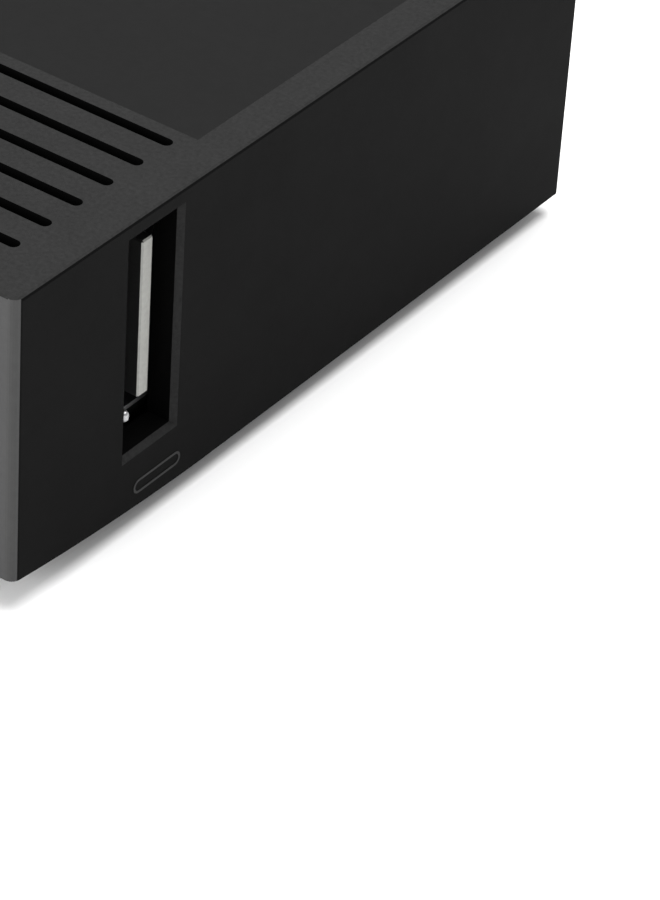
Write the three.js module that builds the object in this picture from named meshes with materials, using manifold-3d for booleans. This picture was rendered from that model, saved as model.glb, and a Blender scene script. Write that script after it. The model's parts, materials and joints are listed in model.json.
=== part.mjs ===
// A compact game console and its wireless controller, lying side by side on a table.
// Millimetres, +Z up, the fronts face -Y. Every physical piece is one named mesh.
import * as THREE from "three";
import { mergeVertices } from "three/addons/utils/BufferGeometryUtils.js";
import Module from "manifold-3d";

const wasm = await Module();
wasm.setup();

// ---------------------------------------------------------------- sizes shared by many pieces
const GAP = 0.3; // clearance left between two touching pieces
const SEAT = 0.2; // clearance under a part soldered to a board
const ROUND = 16; // facets round a small cylinder
const FAR = 150; // farther than any edge of a piece, for open-ended cutters

// ---------------------------------------------------------------- console sizes
const housing = { width: 110, depth: 57, height: 20.9, wall: 2, deck: 1.2 };
const foot = { radius: 4.5, drop: 1.5, pocket: 0.7, inset: [17, 9.5] };
const bezel = { thick: 1.6, setBack: 0.15, skirt: 2.4, skirtWall: 1.4 };
const vent = { width: 0.8, pitch: 2.79, rows: 6, banks: 3, first: 4.44, margin: 3.44, rib: 4 };
const panel = { border: 2.6, thick: 0.8, sink: 0.12 };
const keel = { length: 20, rise: 1.25 }; // the underside curves up towards the front
const usb = {
  fromFront: 12.7,
  openingWidth: 4.6,
  openingHeight: 15.2,
  offBoard: 0.15, // the upright socket stands this far off the board
  chamfer: 0.35,
  shellHeight: 13.2,
  shellWidth: 5.7,
  shellDepth: 14,
  sheet: 0.3,
  tongueHeight: 11.1,
  tongueThick: 1,
  tongueShift: 1.15,
  recess: 1.5,
};
const hdmi = { width: 15, height: 5.6, depth: 11, sheet: 0.4, tongueWidth: 10, tongueThick: 1.2, x: 14 };
const typeC = { width: 9, height: 3.2, depth: 7.3, sheet: 0.3, tongueWidth: 6.7, tongueThick: 0.7 };
const boss = { radius: 2.6, screw: 1.1, fromSide: 7, fromBack: 6.5, apart: 28 };
const screw = { head: 2.1, headHeight: 1.3, length: 9 };
const board = { thick: 1.6, clearance: 1.4, seat: 2, seatInset: 15 };
const chip = { size: 15, height: 1.4 };
const sink = { size: 36, base: 2, fin: 1, fins: 8, headroom: 1.4 };
const radio = { width: 15, depth: 14, height: 2.2, y: 9, beside: 4 };
const power = { fromSide: 17, radius: 4, play: 0.35, travel: 0.6, proud: 0.7, length: 4.2, flange: 1 };
const powerSwitch = { plunger: 1.7, stroke: 1.6, width: 6, depth: 3.5, rise: 3 };
const led = { besideButton: 10, radius: 1.2, play: 0.2, length: 5, footWidth: 2, footDepth: 1.2 };

const floorToShell = foot.drop;
const topZ = floorToShell + housing.height;
const frontY = -housing.depth / 2;
const backY = housing.depth / 2;
const sideX = housing.width / 2;
const baseThick = 2.2;
const baseTop = floorToShell + baseThick;
const boardZ = baseTop + board.clearance + board.thick / 2;
const boardTop = boardZ + board.thick / 2;
const ventEnd = vent.first + (vent.rows - 0.5) * vent.pitch;
const panelFront = frontY + ventEnd;
const usbZ = boardTop + usb.offBoard + usb.shellHeight / 2;
const usbY = frontY + usb.fromFront;
const buttonZ = (floorToShell + keel.rise + topZ) / 2;
const powerX = power.fromSide - sideX;
const ledX = powerX + led.besideButton;
const sinkFront = frontY + led.length + led.footDepth + GAP; // clear of the light pipe's foot
const sinkY = sinkFront + sink.size / 2;
const bossX = sideX - boss.fromSide;
const bossBack = backY - boss.fromBack;
const bossPlaces = [-bossX, bossX].flatMap((x) => [bossBack - boss.apart, bossBack].map((y) => [x, y]));

// ---------------------------------------------------------------- controller sizes
const pad = { halfWidth: 75, wall: 2, seam: 24, crown: 13, belly: 16, gripDepth: 24, gripCrown: 8.5 };
const padBack = [
  [0, 35],
  [20, 36],
  [42, 38],
  [52, 37],
  [62, 32],
  [70, 21],
  [74, 6],
  [75, -8],
];
const padFront = [
  [0, -26],
  [12, -27.5],
  [24, -32],
  [36, -42],
  [46, -54],
  [54, -60],
  [61, -60],
  [68, -52],
  [73, -34],
  [75, -8],
];
const stick = { x: 20, y: -9, pivot: 27, hole: 10.6, domeOver: 2.1, capRadius: 9, capTop: 47.2, neck: 4.2 };
const stickRim = { width: 2.2, rise: 0.8, sink: 2, bevel: 0.6 };
const stickBase = { size: 14, height: 10, cavity: 10.6, floor: 0.8 };
const yoke = { size: 9, window: 5.6, thick: 3, pin: 1, pinPlay: 0.35 };
const shaft = { radius: 1.9, below: 2.6, above: 11.6, pin: 0.75, capPlay: 0.3, top: 12.2 };
const cross = {
  x: -44,
  y: 13,
  span: 23,
  arm: 7.6,
  corner: 1.2,
  leg: 9,
  legRadius: 1.8,
  bottom: 32.5,
  top: 39.6,
  gap: 0.9, // room round the arms for the tilt
  pivot: 31.5,
  ball: 3,
  ballPlay: 0.35,
  post: 2,
  postRoom: 0.9, // room round the post for the tilt
};
const faceKeys = { x: 44, y: 13, reach: 11, radius: 5.2, top: 39.4, flange: 0.9, gap: 0.4 };
const menu = { x: 17, y: 17, width: 9, height: 4, top: 37.9, homeRadius: 5, homeRise: 0.4, flange: 1 };
const keyLedge = { rise: 7.2, thick: 1 }; // the flange that stops a key under the skin, above the seam
const padBoard = { thick: 1.6, top: 22, back: 28 };
const mat = { thick: 1.2, corner: 5, domeFoot: 3.6, domeCrown: 2.8, domeTop: 25.4 }; // rubber mats with domes
const keyBottom = mat.domeTop + 1.6; // a key stands this FAR off its dome, more than its travel
const cell = { width: 50, depth: 28, height: 6, y: 4, bottom: 11.3 };
const motor = { x: 51, y: -31, z: 18.5, radius: 5.8, length: 12 };
const weight = { radius: 7.2, length: 4, hub: 2.2 };
const shoulder = {
  inner: 31.6,
  outer: 59.4,
  margin: 1,
  back: 30,
  bumperGap: 1.3,
  split: 25.4,
  floor: 12.5,
  ear: 1.6,
};
const trigger = { inset: 1.4, pivotY: 34, pivotZ: 21.5, pin: 1.5, pinGap: 0.25 };
const padScrewSeats = [
  [30, 10],
  [22, -20],
];
const apart = 25; // free table between the console and the controller

// ---------------------------------------------------------------- finishes
const paint = (colour, roughness, metalness = 0) =>
  new THREE.MeshStandardMaterial({ color: colour, roughness, metalness });

const FINISH = {
  caseGrain: () => paint(0x2b2b2b, 0.6),
  panelGloss: () => paint(0x222222, 0.3),
  bezelGrey: () => paint(0x4a4a4c, 0.45),
  base: () => paint(0x1c1c1c, 0.7),
  rubber: () => paint(0x151515, 0.9),
  padShell: () => paint(0x242426, 0.55),
  padButton: () => paint(0x303033, 0.4),
  softGrip: () => paint(0x171717, 0.85),
  steel: () => paint(0x9a9a9c, 0.35, 1),
  aluminium: () => paint(0xb4b6b8, 0.4, 1),
  solderMask: () => paint(0x1e5a36, 0.5),
  epoxy: () => paint(0x18181a, 0.5),
  tongue: () => paint(0xc9c9c6, 0.5),
  nylon: () => paint(0x2c2c2c, 0.5),
  lens: () => paint(0xdfe6ea, 0.2),
  foil: () => paint(0x3c5f93, 0.4),
};

// ---------------------------------------------------------------- solids
/** A closed three.js geometry as a solid that can be joined and cut. */
function solid(geometry) {
  const flat = geometry.index ? geometry.toNonIndexed() : geometry;
  const bare = new THREE.BufferGeometry();
  bare.setAttribute("position", flat.getAttribute("position"));
  const merged = mergeVertices(bare, 1e-4);
  return new wasm.Manifold(
    new wasm.Mesh({
      numProp: 3,
      vertProperties: new Float32Array(merged.attributes.position.array),
      triVerts: new Uint32Array(merged.index.array),
    }),
  );
}

/** A joined solid back as a three.js geometry with flat faces. */
function geometryOf(body) {
  const data = body.getMesh();
  const geometry = new THREE.BufferGeometry();
  const positions = new Float32Array(data.vertProperties);
  geometry.setAttribute("position", new THREE.BufferAttribute(positions, data.numProp));
  geometry.setIndex(new THREE.BufferAttribute(new Uint32Array(data.triVerts), 1));
  const split = geometry.toNonIndexed();
  split.computeVertexNormals();
  return split;
}

const moved = (geometry, x, y, z) => geometry.translate(x, y, z);

/** A block given by its centre. */
const block = (sx, sy, sz, x = 0, y = 0, z = 0) => solid(moved(new THREE.BoxGeometry(sx, sy, sz), x, y, z));

/** A block given by two opposite corners. */
function span(x0, x1, y0, y1, z0, z1) {
  return block(x1 - x0, y1 - y0, z1 - z0, (x0 + x1) / 2, (y0 + y1) / 2, (z0 + z1) / 2);
}

/** An upright round bar from z0 to z1. */
function post(radius, z0, z1, x = 0, y = 0, facets = ROUND) {
  const bar = new THREE.CylinderGeometry(radius, radius, z1 - z0, facets).rotateX(Math.PI / 2);
  return solid(moved(bar, x, y, (z0 + z1) / 2));
}

/** A round bar along X from x0 to x1. */
function axleX(radius, x0, x1, y, z, facets = ROUND) {
  const bar = new THREE.CylinderGeometry(radius, radius, x1 - x0, facets).rotateZ(Math.PI / 2);
  return solid(moved(bar, (x0 + x1) / 2, y, z));
}

/** A round bar along Y from y0 to y1. */
function axleY(radius, y0, y1, x, z, facets = ROUND) {
  return solid(moved(new THREE.CylinderGeometry(radius, radius, y1 - y0, facets), x, (y0 + y1) / 2, z));
}

/** A solid turned on the lathe about the Z axis; the profile is a closed list of [radius, z]. */
function turned(profile, x = 0, y = 0, facets = ROUND) {
  const points = [...profile, profile[0]].map(([r, z]) => new THREE.Vector2(r, z));
  const lathe = new THREE.LatheGeometry(points, facets).rotateX(Math.PI / 2);
  return solid(moved(lathe, x, y, 0));
}

/** A rounded rectangle as a shape. */
function roundedShape(width, height, radius) {
  const w = width / 2;
  const h = height / 2;
  const shape = new THREE.Shape();
  shape.moveTo(-w + radius, -h);
  shape.lineTo(w - radius, -h).absarc(w - radius, -h + radius, radius, -Math.PI / 2, 0);
  shape.lineTo(w, h - radius).absarc(w - radius, h - radius, radius, 0, Math.PI / 2);
  shape.lineTo(-w + radius, h).absarc(-w + radius, h - radius, radius, Math.PI / 2, Math.PI);
  shape.lineTo(-w, -h + radius).absarc(-w + radius, -h + radius, radius, Math.PI, 1.5 * Math.PI);
  return shape;
}

/** A flat plate with rounded corners, from z0 to z1. */
function plate(width, depth, radius, z0, z1, x = 0, y = 0, curveSegments = 4) {
  const shape = roundedShape(width, depth, radius);
  const body = new THREE.ExtrudeGeometry(shape, { depth: z1 - z0, bevelEnabled: false, curveSegments });
  return solid(moved(body, x, y, z0));
}

/** A side profile of [y, z] points pushed along X from x0 to x1. */
function sideProfile(points, x0, x1) {
  const shape = new THREE.Shape(points.map(([y, z]) => new THREE.Vector2(y, z)));
  const body = new THREE.ExtrudeGeometry(shape, { depth: x1 - x0, bevelEnabled: false });
  const turn = new THREE.Matrix4().makeBasis(
    new THREE.Vector3(0, 1, 0),
    new THREE.Vector3(0, 0, 1),
    new THREE.Vector3(1, 0, 0),
  );
  return solid(moved(body.applyMatrix4(turn), x0, 0, 0));
}

const joined = (first, ...rest) => rest.reduce((all, next) => all.add(next), first);
const cut = (first, ...rest) => rest.reduce((all, next) => all.subtract(next), first);
const mirrored = (body) => body.mirror([1, 0, 0]);

const assembly = new THREE.Group();
assembly.name = "game_housingwith_controller";
const consoleGroup = new THREE.Group();
const padGroup = new THREE.Group();
assembly.add(consoleGroup, padGroup);

/** Puts one named piece into its group. */
function addPiece(group, name, body, finish) {
  const mesh = new THREE.Mesh(geometryOf(body), FINISH[finish]());
  mesh.name = name;
  group.add(mesh);
}

// ---------------------------------------------------------------- console
/** Underside height above the table at a distance behind the front face. */
function keelZ(fromFront) {
  const ahead = Math.max(0, keel.length - fromFront) / keel.length;
  return floorToShell + keel.rise * ahead * ahead;
}

/** The side view of the console between two depths, from the curved underside up to a height. */
function consoleSide(y0, y1, lift, z1) {
  const steps = 8;
  const curveEnd = Math.min(y1, frontY + keel.length);
  const points = [];
  for (let i = 0; i <= steps; i++) {
    const y = y0 + ((curveEnd - y0) * i) / steps;
    points.push([y, keelZ(y - frontY) + lift]);
  }
  if (y1 > curveEnd) points.push([y1, floorToShell + lift]);
  points.push([y1, z1], [y0, z1]);
  return points;
}

/** All the vent slots as cutters, bank by bank. */
function ventCutters() {
  const run = housing.width - 2 * vent.margin;
  const length = (run - vent.rib * (vent.banks - 1)) / vent.banks;
  const cutters = [];
  for (let bank = 0; bank < vent.banks; bank++) {
    const x = -run / 2 + length / 2 + bank * (length + vent.rib);
    for (let row = 0; row < vent.rows; row++) {
      const y = frontY + vent.first + row * vent.pitch;
      const radius = vent.width / 2 - 0.01;
      cutters.push(plate(length, vent.width, radius, topZ - housing.deck - 1, topZ + 1, x, y, 2));
    }
  }
  return cutters;
}

/** A four-sided flare whose small end sinks into the right wall and whose wide end is flush with it. */
function usbChamfer() {
  const reach = usb.chamfer;
  const w = usb.openingWidth / 2;
  const h = usb.openingHeight / 2;
  const corners = [];
  for (const [x, grow] of [
    [sideX - reach, 0],
    [sideX + reach, 2 * reach],
  ])
    for (const [sy, sz] of [
      [-1, -1],
      [1, -1],
      [1, 1],
      [-1, 1],
    ])
      corners.push([x, usbY + sy * (w + grow), usbZ + sz * (h + grow)]);
  return hullOfFrustum(corners);
}

/** A closed solid from eight corners: a back ring of four and a front ring of four. */
function hullOfFrustum(corners) {
  const quads = [
    [3, 2, 1, 0],
    [4, 5, 6, 7],
    [0, 1, 5, 4],
    [1, 2, 6, 5],
    [2, 3, 7, 6],
    [3, 0, 4, 7],
  ];
  const positions = [];
  for (const [a, b, c, d] of quads) for (const i of [a, b, c, a, c, d]) positions.push(...corners[i]);
  const geometry = new THREE.BufferGeometry();
  geometry.setAttribute("position", new THREE.BufferAttribute(new Float32Array(positions), 3));
  return solid(geometry);
}

function buildTopCase() {
  const outer = sideProfile(consoleSide(frontY, backY, 0, topZ), -sideX, sideX);
  const inX = sideX - housing.wall;
  const deckUnder = topZ - housing.deck;
  const panelUnder = topZ - panel.thick - panel.sink - housing.deck - GAP;
  const inBack = backY - housing.wall;
  const ventRoom = span(-inX, inX, frontY - 1, panelFront - 1, 0, deckUnder);
  const backRoom = span(-inX, inX, frontY - 1, inBack, 0, panelUnder);
  const panelX = sideX - panel.border;
  const panelBack = backY - panel.border;
  const pocketFloor = topZ - panel.thick - panel.sink - GAP;
  const pocket = span(-panelX, panelX, panelFront, panelBack, pocketFloor, topZ + 1);
  let body = cut(outer, ventRoom, backRoom, pocket, ...ventCutters());
  for (const [x, y] of bossPlaces) {
    const pillar = post(boss.radius, baseTop + GAP, panelUnder + GAP, x, y, 14);
    body = body.add(pillar).subtract(post(boss.screw, baseTop, panelUnder - 2, x, y, 10));
  }
  const wide = usb.openingWidth / 2;
  const high = usb.openingHeight / 2;
  const usbHole = span(sideX - 5, sideX + 1, usbY - wide, usbY + wide, usbZ - high, usbZ + high);
  return cut(body, rearHole(hdmi, hdmi.x), rearHole(typeC, -hdmi.x), usbHole, usbChamfer());
}

/** A hole in the back wall, a little wider than the socket that stands behind it. */
function rearHole(socket, x) {
  const half = socket.width / 2 + GAP;
  const z1 = boardTop + SEAT + socket.height + GAP;
  return span(x - half, x + half, backY - housing.wall - 1, backY + 1, boardTop - SEAT, z1);
}

function buildInsetPanel() {
  const width = housing.width - 2 * panel.border - 2 * GAP;
  const depth = backY - panel.border - panelFront - 2 * GAP;
  const z1 = topZ - panel.sink;
  return span(-width / 2, width / 2, panelFront + GAP, panelFront + GAP + depth, z1 - panel.thick, z1);
}

function buildBezel() {
  const y0 = frontY + bezel.setBack;
  const y1 = y0 + bezel.thick;
  const y2 = y1 + bezel.skirt;
  const inX = sideX - housing.wall - GAP;
  const lidZ = topZ - housing.deck - GAP;
  const skirtBottom = baseTop + keel.rise + GAP;
  const front = sideProfile(consoleSide(y0, y1, 0, lidZ), -inX, inX);
  const w = bezel.skirtWall;
  const ring = cut(
    span(-inX, inX, y1 - 0.1, y2, skirtBottom, lidZ),
    span(-inX + w, inX - w, y1 - 1, y2 + 1, skirtBottom + w, lidZ - w),
  );
  const buttonHole = axleY(power.radius + power.play, frontY - 1, y1 + 1, powerX, buttonZ, 28);
  const lightHole = axleY(led.radius + led.play, frontY - 1, y1 + 1, ledX, buttonZ, 12);
  return cut(joined(front, ring), buttonHole, lightHole);
}

function buildBase() {
  const inX = sideX - housing.wall - GAP;
  const y0 = frontY + bezel.setBack + bezel.thick + GAP;
  const y1 = backY - housing.wall - GAP;
  const tray = sideProfile(baseSide(y0, y1), -inX, inX);
  const seatTop = boardZ - board.thick / 2 - SEAT;
  const pocketTop = floorToShell + foot.pocket;
  const seats = boardSeats().map(([x, y]) => post(board.seat, baseTop - SEAT, seatTop, x, y, 10));
  const pockets = feetAt().map(([x, y]) => post(foot.radius + GAP, 0, pocketTop, x, y));
  const screwHoles = bossPlaces.flatMap(([x, y]) => [
    post(boss.screw + GAP, 0, baseTop + 1, x, y, 12),
    post(screw.head + GAP, 0, floorToShell + screw.headHeight + SEAT, x, y, 14),
  ]);
  return cut(joined(tray, ...seats), ...pockets, ...screwHoles);
}

/** The tray follows the curved underside below and above. */
function baseSide(y0, y1) {
  const lower = consoleSide(y0, y1, 0, baseTop).slice(0, -2);
  const upper = [...lower].reverse().map(([y, z]) => [y, z + baseThick]);
  return [...lower, ...upper];
}

function feetAt() {
  const x = sideX - foot.inset[0];
  const y = backY - foot.inset[1];
  return [
    [-x, -y],
    [x, -y],
    [-x, y],
    [x, y],
  ];
}

/** The pillars under the board; the front right one stands clear of the side socket. */
function boardSeats() {
  const x = sideX - board.seatInset;
  const y = backY - board.seatInset;
  const clearX = sideX - housing.wall - usb.shellDepth - board.seatInset / 2;
  return [
    [-x, y],
    [x, y],
    [-x, -y],
    [clearX, -y],
  ];
}

function buildBoard() {
  const front = frontY + bezel.setBack + bezel.thick + bezel.skirt + 1;
  const back = backY - housing.wall - 2 * GAP;
  const half = sideX - housing.wall - 1;
  const slab = span(-half, half, front, back, boardZ - board.thick / 2, boardTop);
  const clear = bossPlaces.map(([x, y]) => post(boss.radius + 0.5, 0, topZ, x, y));
  return cut(slab, ...clear);
}

function buildHeatSink() {
  const z0 = boardTop + SEAT + chip.height + SEAT;
  const z1 = topZ - housing.deck - sink.headroom;
  const half = sink.size / 2;
  const pitch = (sink.size - sink.fin) / (sink.fins - 1);
  const profile = [[-half, z0]];
  profile.push([half, z0]);
  for (let i = sink.fins - 1; i >= 0; i--) {
    const left = -half + i * pitch;
    profile.push([left + sink.fin, z1], [left, z1]);
    if (i > 0) profile.push([left, z0 + sink.base], [left - pitch + sink.fin, z0 + sink.base]);
  }
  const points = profile.map(([x, z]) => new THREE.Vector2(x, z));
  const comb = new THREE.ExtrudeGeometry(new THREE.Shape(points), { depth: sink.size, bevelEnabled: false });
  return solid(moved(comb.rotateX(Math.PI / 2), 0, sinkY + half, 0));
}

/** A sheet-metal socket sleeve open at one end, as a box with a deep pocket. */
function sleeve(size, wall, open) {
  const [x0, x1, y0, y1, z0, z1] = size;
  const inner = [x0 + wall, x1 - wall, y0 + wall, y1 - wall, z0 + wall, z1 - wall];
  inner[open] += open % 2 ? 3 * wall : -3 * wall;
  return cut(span(...size), span(...inner));
}

function buildUsb(group) {
  const x1 = sideX - housing.wall - SEAT;
  const x0 = x1 - usb.shellDepth;
  const w = usb.shellWidth / 2;
  const h = usb.shellHeight / 2;
  const box = [x0, x1, usbY - w, usbY + w, usbZ - h, usbZ + h];
  addPiece(group, "usb_socket_shell", sleeve(box, usb.sheet, 1), "steel");
  const y = usbY + usb.tongueShift;
  const t = usb.tongueThick / 2;
  const tall = usb.tongueHeight / 2;
  const blade = span(x0 + 2, sideX - usb.recess, y - t, y + t, usbZ - tall, usbZ + tall);
  const inset = usb.sheet + SEAT;
  const [halfY, halfZ] = [w - inset, h - inset];
  const heel = span(x0 + inset, x0 + 3, usbY - halfY, usbY + halfY, usbZ - halfZ, usbZ + halfZ);
  addPiece(group, "usb_socket_tongue", joined(blade, heel), "tongue");
}

/** A socket that opens to the back: sleeve on the board and a tongue inside it. */
function buildRearSocket(group, name, socket, x) {
  const y1 = backY - housing.wall + 1;
  const y0 = y1 - socket.depth;
  const z0 = boardTop + SEAT;
  const z1 = z0 + socket.height;
  const w = socket.width / 2;
  addPiece(group, name + "_shell", sleeve([x - w, x + w, y0, y1, z0, z1], socket.sheet, 3), "steel");
  const middle = (z0 + z1) / 2;
  const half = socket.tongueWidth / 2;
  const t = socket.tongueThick / 2;
  const blade = span(x - half, x + half, y0 + 2, y1 - 1, middle - t, middle + t);
  const inset = socket.sheet + SEAT;
  const heel = span(x - w + inset, x + w - inset, y0 + inset, y0 + 2.5, z0 + inset, z1 - inset);
  addPiece(group, name + "_tongue", joined(blade, heel), "nylon");
}

function buildPowerControls(group) {
  const y0 = frontY - power.proud;
  const y1 = y0 + power.length;
  const stem = axleY(power.radius, y0, y1, powerX, buttonZ, 28);
  const rim = axleY(power.radius + power.flange, y1 - power.flange, y1, powerX, buttonZ, 28);
  addPiece(group, "power_button", joined(stem, rim), "bezelGrey");
  addPiece(group, "power_switch", buildPowerSwitch(y1 + power.travel + SEAT), "epoxy");
  addPiece(group, "light_pipe", buildLightPipe(), "lens");
}

/** The switch on the board, with its plunger behind the button at full press. */
function buildPowerSwitch(plungerFront) {
  const canFront = plungerFront + powerSwitch.stroke;
  const half = powerSwitch.width / 2;
  const canTop = buttonZ + powerSwitch.rise;
  return joined(
    axleY(powerSwitch.plunger, plungerFront, canFront + 0.1, powerX, buttonZ, 14),
    span(powerX - half, powerX + half, canFront, canFront + powerSwitch.depth, boardTop + SEAT, canTop),
  );
}

/** A clear rod from the board's light to the bezel. */
function buildLightPipe() {
  const end = frontY + led.length;
  const half = led.footWidth / 2;
  return joined(
    axleY(led.radius, frontY + 0.05, end, ledX, buttonZ, 12),
    span(ledX - half, ledX + half, end - 1, end + led.footDepth, boardTop + SEAT, buttonZ),
  );
}

/** The rubber foot that stands in its pocket in the tray. */
function buildFoot(x, y) {
  const z1 = floorToShell + foot.pocket - GAP;
  const r = foot.radius;
  const bevel = 0.5;
  const profile = [
    [0, 0],
    [r - bevel, 0],
    [r, bevel],
    [r, z1],
    [0, z1],
  ];
  return turned(profile, x, y);
}

/** The screw that holds the tray to a boss of the case. */
function buildCaseScrew(x, y) {
  const z0 = floorToShell + 0.1;
  const head = post(screw.head, z0, z0 + screw.headHeight - SEAT, x, y);
  return joined(head, post(boss.screw - GAP, z0, z0 + screw.length, x, y, 10));
}

function buildConsole() {
  addPiece(consoleGroup, "top_case", buildTopCase(), "caseGrain");
  addPiece(consoleGroup, "inset_panel", buildInsetPanel(), "panelGloss");
  addPiece(consoleGroup, "front_bezel", buildBezel(), "bezelGrey");
  addPiece(consoleGroup, "base_tray", buildBase(), "base");
  addPiece(consoleGroup, "main_board", buildBoard(), "solderMask");
  const chipZ = boardTop + SEAT;
  const processor = block(chip.size, chip.size, chip.height, 0, sinkY, chipZ + chip.height / 2);
  addPiece(consoleGroup, "processor", processor, "epoxy");
  addPiece(consoleGroup, "heat_sink", buildHeatSink(), "aluminium");
  const radioX = (sink.size + radio.width) / 2 + radio.beside;
  const can = block(radio.width, radio.depth, radio.height, radioX, radio.y, chipZ + radio.height / 2);
  addPiece(consoleGroup, "radio_module", can, "steel");
  buildUsb(consoleGroup);
  buildRearSocket(consoleGroup, "hdmi_socket", hdmi, hdmi.x);
  buildRearSocket(consoleGroup, "power_socket", typeC, -hdmi.x);
  buildPowerControls(consoleGroup);
  feetAt().forEach(([x, y], i) => addPiece(consoleGroup, "foot_" + (i + 1), buildFoot(x, y), "rubber"));
  bossPlaces.forEach(([x, y], i) => {
    addPiece(consoleGroup, "case_screw_" + (i + 1), buildCaseScrew(x, y), "steel");
  });
}

// ---------------------------------------------------------------- controller body
/** Height of a smooth plan line at x, from its control points. */
function planLine(controls) {
  const curve = new THREE.SplineCurve(controls.map(([x, y]) => new THREE.Vector2(x, y)));
  const samples = curve.getPoints(240);
  return (x) => {
    const at = Math.min(Math.abs(x), controls[controls.length - 1][0]);
    const next = samples.findIndex((p, i) => i > 0 && p.x >= at);
    const b = samples[next < 1 ? samples.length - 1 : next];
    const a = samples[(next < 1 ? samples.length - 1 : next) - 1];
    const t = b.x === a.x ? 1 : (at - a.x) / (b.x - a.x);
    return a.y + (b.y - a.y) * t;
  };
}

const backLine = planLine(padBack);
const frontLine = planLine(padFront);
const smooth = (from, to, v) => THREE.MathUtils.smoothstep(v, from, to);

/** How FAR the skin rises above and falls below the seam at a plan point. */
function padHeights(x, y, inset) {
  const across = Math.abs(x) / pad.halfWidth;
  const fade = Math.pow(Math.max(0, 1 - Math.pow(across, 5)), 0.36);
  const toGrip = smooth(0, 38, -y - 8);
  const sideways = smooth(20, 48, Math.abs(x));
  const grip = toGrip * sideways;
  const up = THREE.MathUtils.lerp(pad.crown, pad.gripCrown, grip);
  const down = THREE.MathUtils.lerp(pad.belly, pad.gripDepth, grip);
  return [(up - inset) * fade, (down - inset) * fade];
}

/** The whole controller as one smooth lofted body; an inset makes the smaller inner body. */
function padBody(inset, sections = 24, around = 20) {
  const halfWidth = pad.halfWidth - inset;
  const rings = [];
  for (let i = 0; i <= sections; i++) {
    const along = Math.sin((i / sections - 0.5) * Math.PI);
    const x = along * halfWidth;
    const planX = along * pad.halfWidth;
    const back = backLine(planX) - inset;
    const front = frontLine(planX) + inset;
    const middle = (back + front) / 2;
    const half = Math.max(0, (back - front) / 2);
    const ring = [];
    for (let k = 0; k < around; k++) {
      const a = (k / around) * 2 * Math.PI;
      const c = Math.cos(a);
      const s = Math.sin(a);
      const y = middle + half * Math.sign(c) * Math.pow(Math.abs(c), 0.5);
      const [up, down] = padHeights(planX, y, inset);
      const rise = Math.pow(Math.abs(s), s > 0 ? 0.4 : 0.5);
      ring.push(new THREE.Vector3(x, y, pad.seam + (s > 0 ? up : -down) * rise));
    }
    rings.push(ring);
  }
  return solid(loft(rings));
}

/** A skin over a row of rings whose first and last ring close to a point. */
function loft(rings) {
  const triangles = [];
  const count = rings[0].length;
  const ends = [rings[0], rings[rings.length - 1]].map((ring) => {
    const centre = new THREE.Vector3();
    ring.forEach((p) => centre.add(p));
    return centre.divideScalar(count);
  });
  const inner = rings.slice(1, -1);
  for (let i = 0; i < inner.length - 1; i++)
    for (let k = 0; k < count; k++) {
      const n = (k + 1) % count;
      const [a, b, c, d] = [inner[i][k], inner[i][n], inner[i + 1][n], inner[i + 1][k]];
      triangles.push(a, b, c, a, c, d);
    }
  const last = inner[inner.length - 1];
  for (let k = 0; k < count; k++) {
    const n = (k + 1) % count;
    triangles.push(ends[0], inner[0][n], inner[0][k], ends[1], last[k], last[n]);
  }
  const geometry = new THREE.BufferGeometry();
  const positions = new Float32Array(triangles.flatMap((p) => [p.x, p.y, p.z]));
  geometry.setAttribute("position", new THREE.BufferAttribute(positions, 3));
  return geometry;
}

const outerPad = padBody(0);
const innerPad = padBody(pad.wall);

/** Runs a builder for both sides and names the pieces left and right. */
function bothSides(build) {
  build("right", (body) => body);
  build("left", mirrored);
}

/** The notch in a back corner where the bumper and the trigger sit. */
function shoulderNotch() {
  const { inner, outer, margin, back, floor } = shoulder;
  return span(inner - margin, outer + margin, back, FAR, floor, FAR);
}

/** A plus-shaped bar for the direction pad, grown by a margin. */
function plus(margin, z0, z1) {
  const long = cross.span + 2 * margin;
  const arm = cross.arm + 2 * margin;
  return joined(
    plate(long, arm, cross.corner, z0, z1, cross.x, cross.y, 3),
    plate(arm, long, cross.corner, z0, z1, cross.x, cross.y, 3),
  );
}

/** The four face button centres, as a diamond. */
const facePlaces = [
  ["south", 0, -1],
  ["east", 1, 0],
  ["north", 0, 1],
  ["west", -1, 0],
].map(([name, dx, dy]) => [name, faceKeys.x + dx * faceKeys.reach, faceKeys.y + dy * faceKeys.reach]);

/** The charge socket's place on the controller's back edge. */
const charge = { back: padBack[0][1] - 0.4, z0: padBoard.top + SEAT };

function chargeHole() {
  const w = typeC.width / 2 + GAP;
  return span(-w, w, charge.back - typeC.depth - 1, FAR, charge.z0 - GAP, charge.z0 + typeC.height + GAP);
}

/** The raised ring round a thumb stick's hole. */
function stickRing() {
  const skinZ = pad.seam + pad.crown;
  const { width, rise, sink: below, bevel } = stickRim;
  return turned(
    [
      [stick.hole, skinZ - below],
      [stick.hole + width, skinZ - below],
      [stick.hole + width, skinZ + rise - bevel],
      [stick.hole + width - bevel, skinZ + rise],
      [stick.hole + bevel, skinZ + rise],
      [stick.hole, skinZ + rise - bevel],
    ],
    stick.x,
    stick.y,
    24,
  );
}

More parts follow.
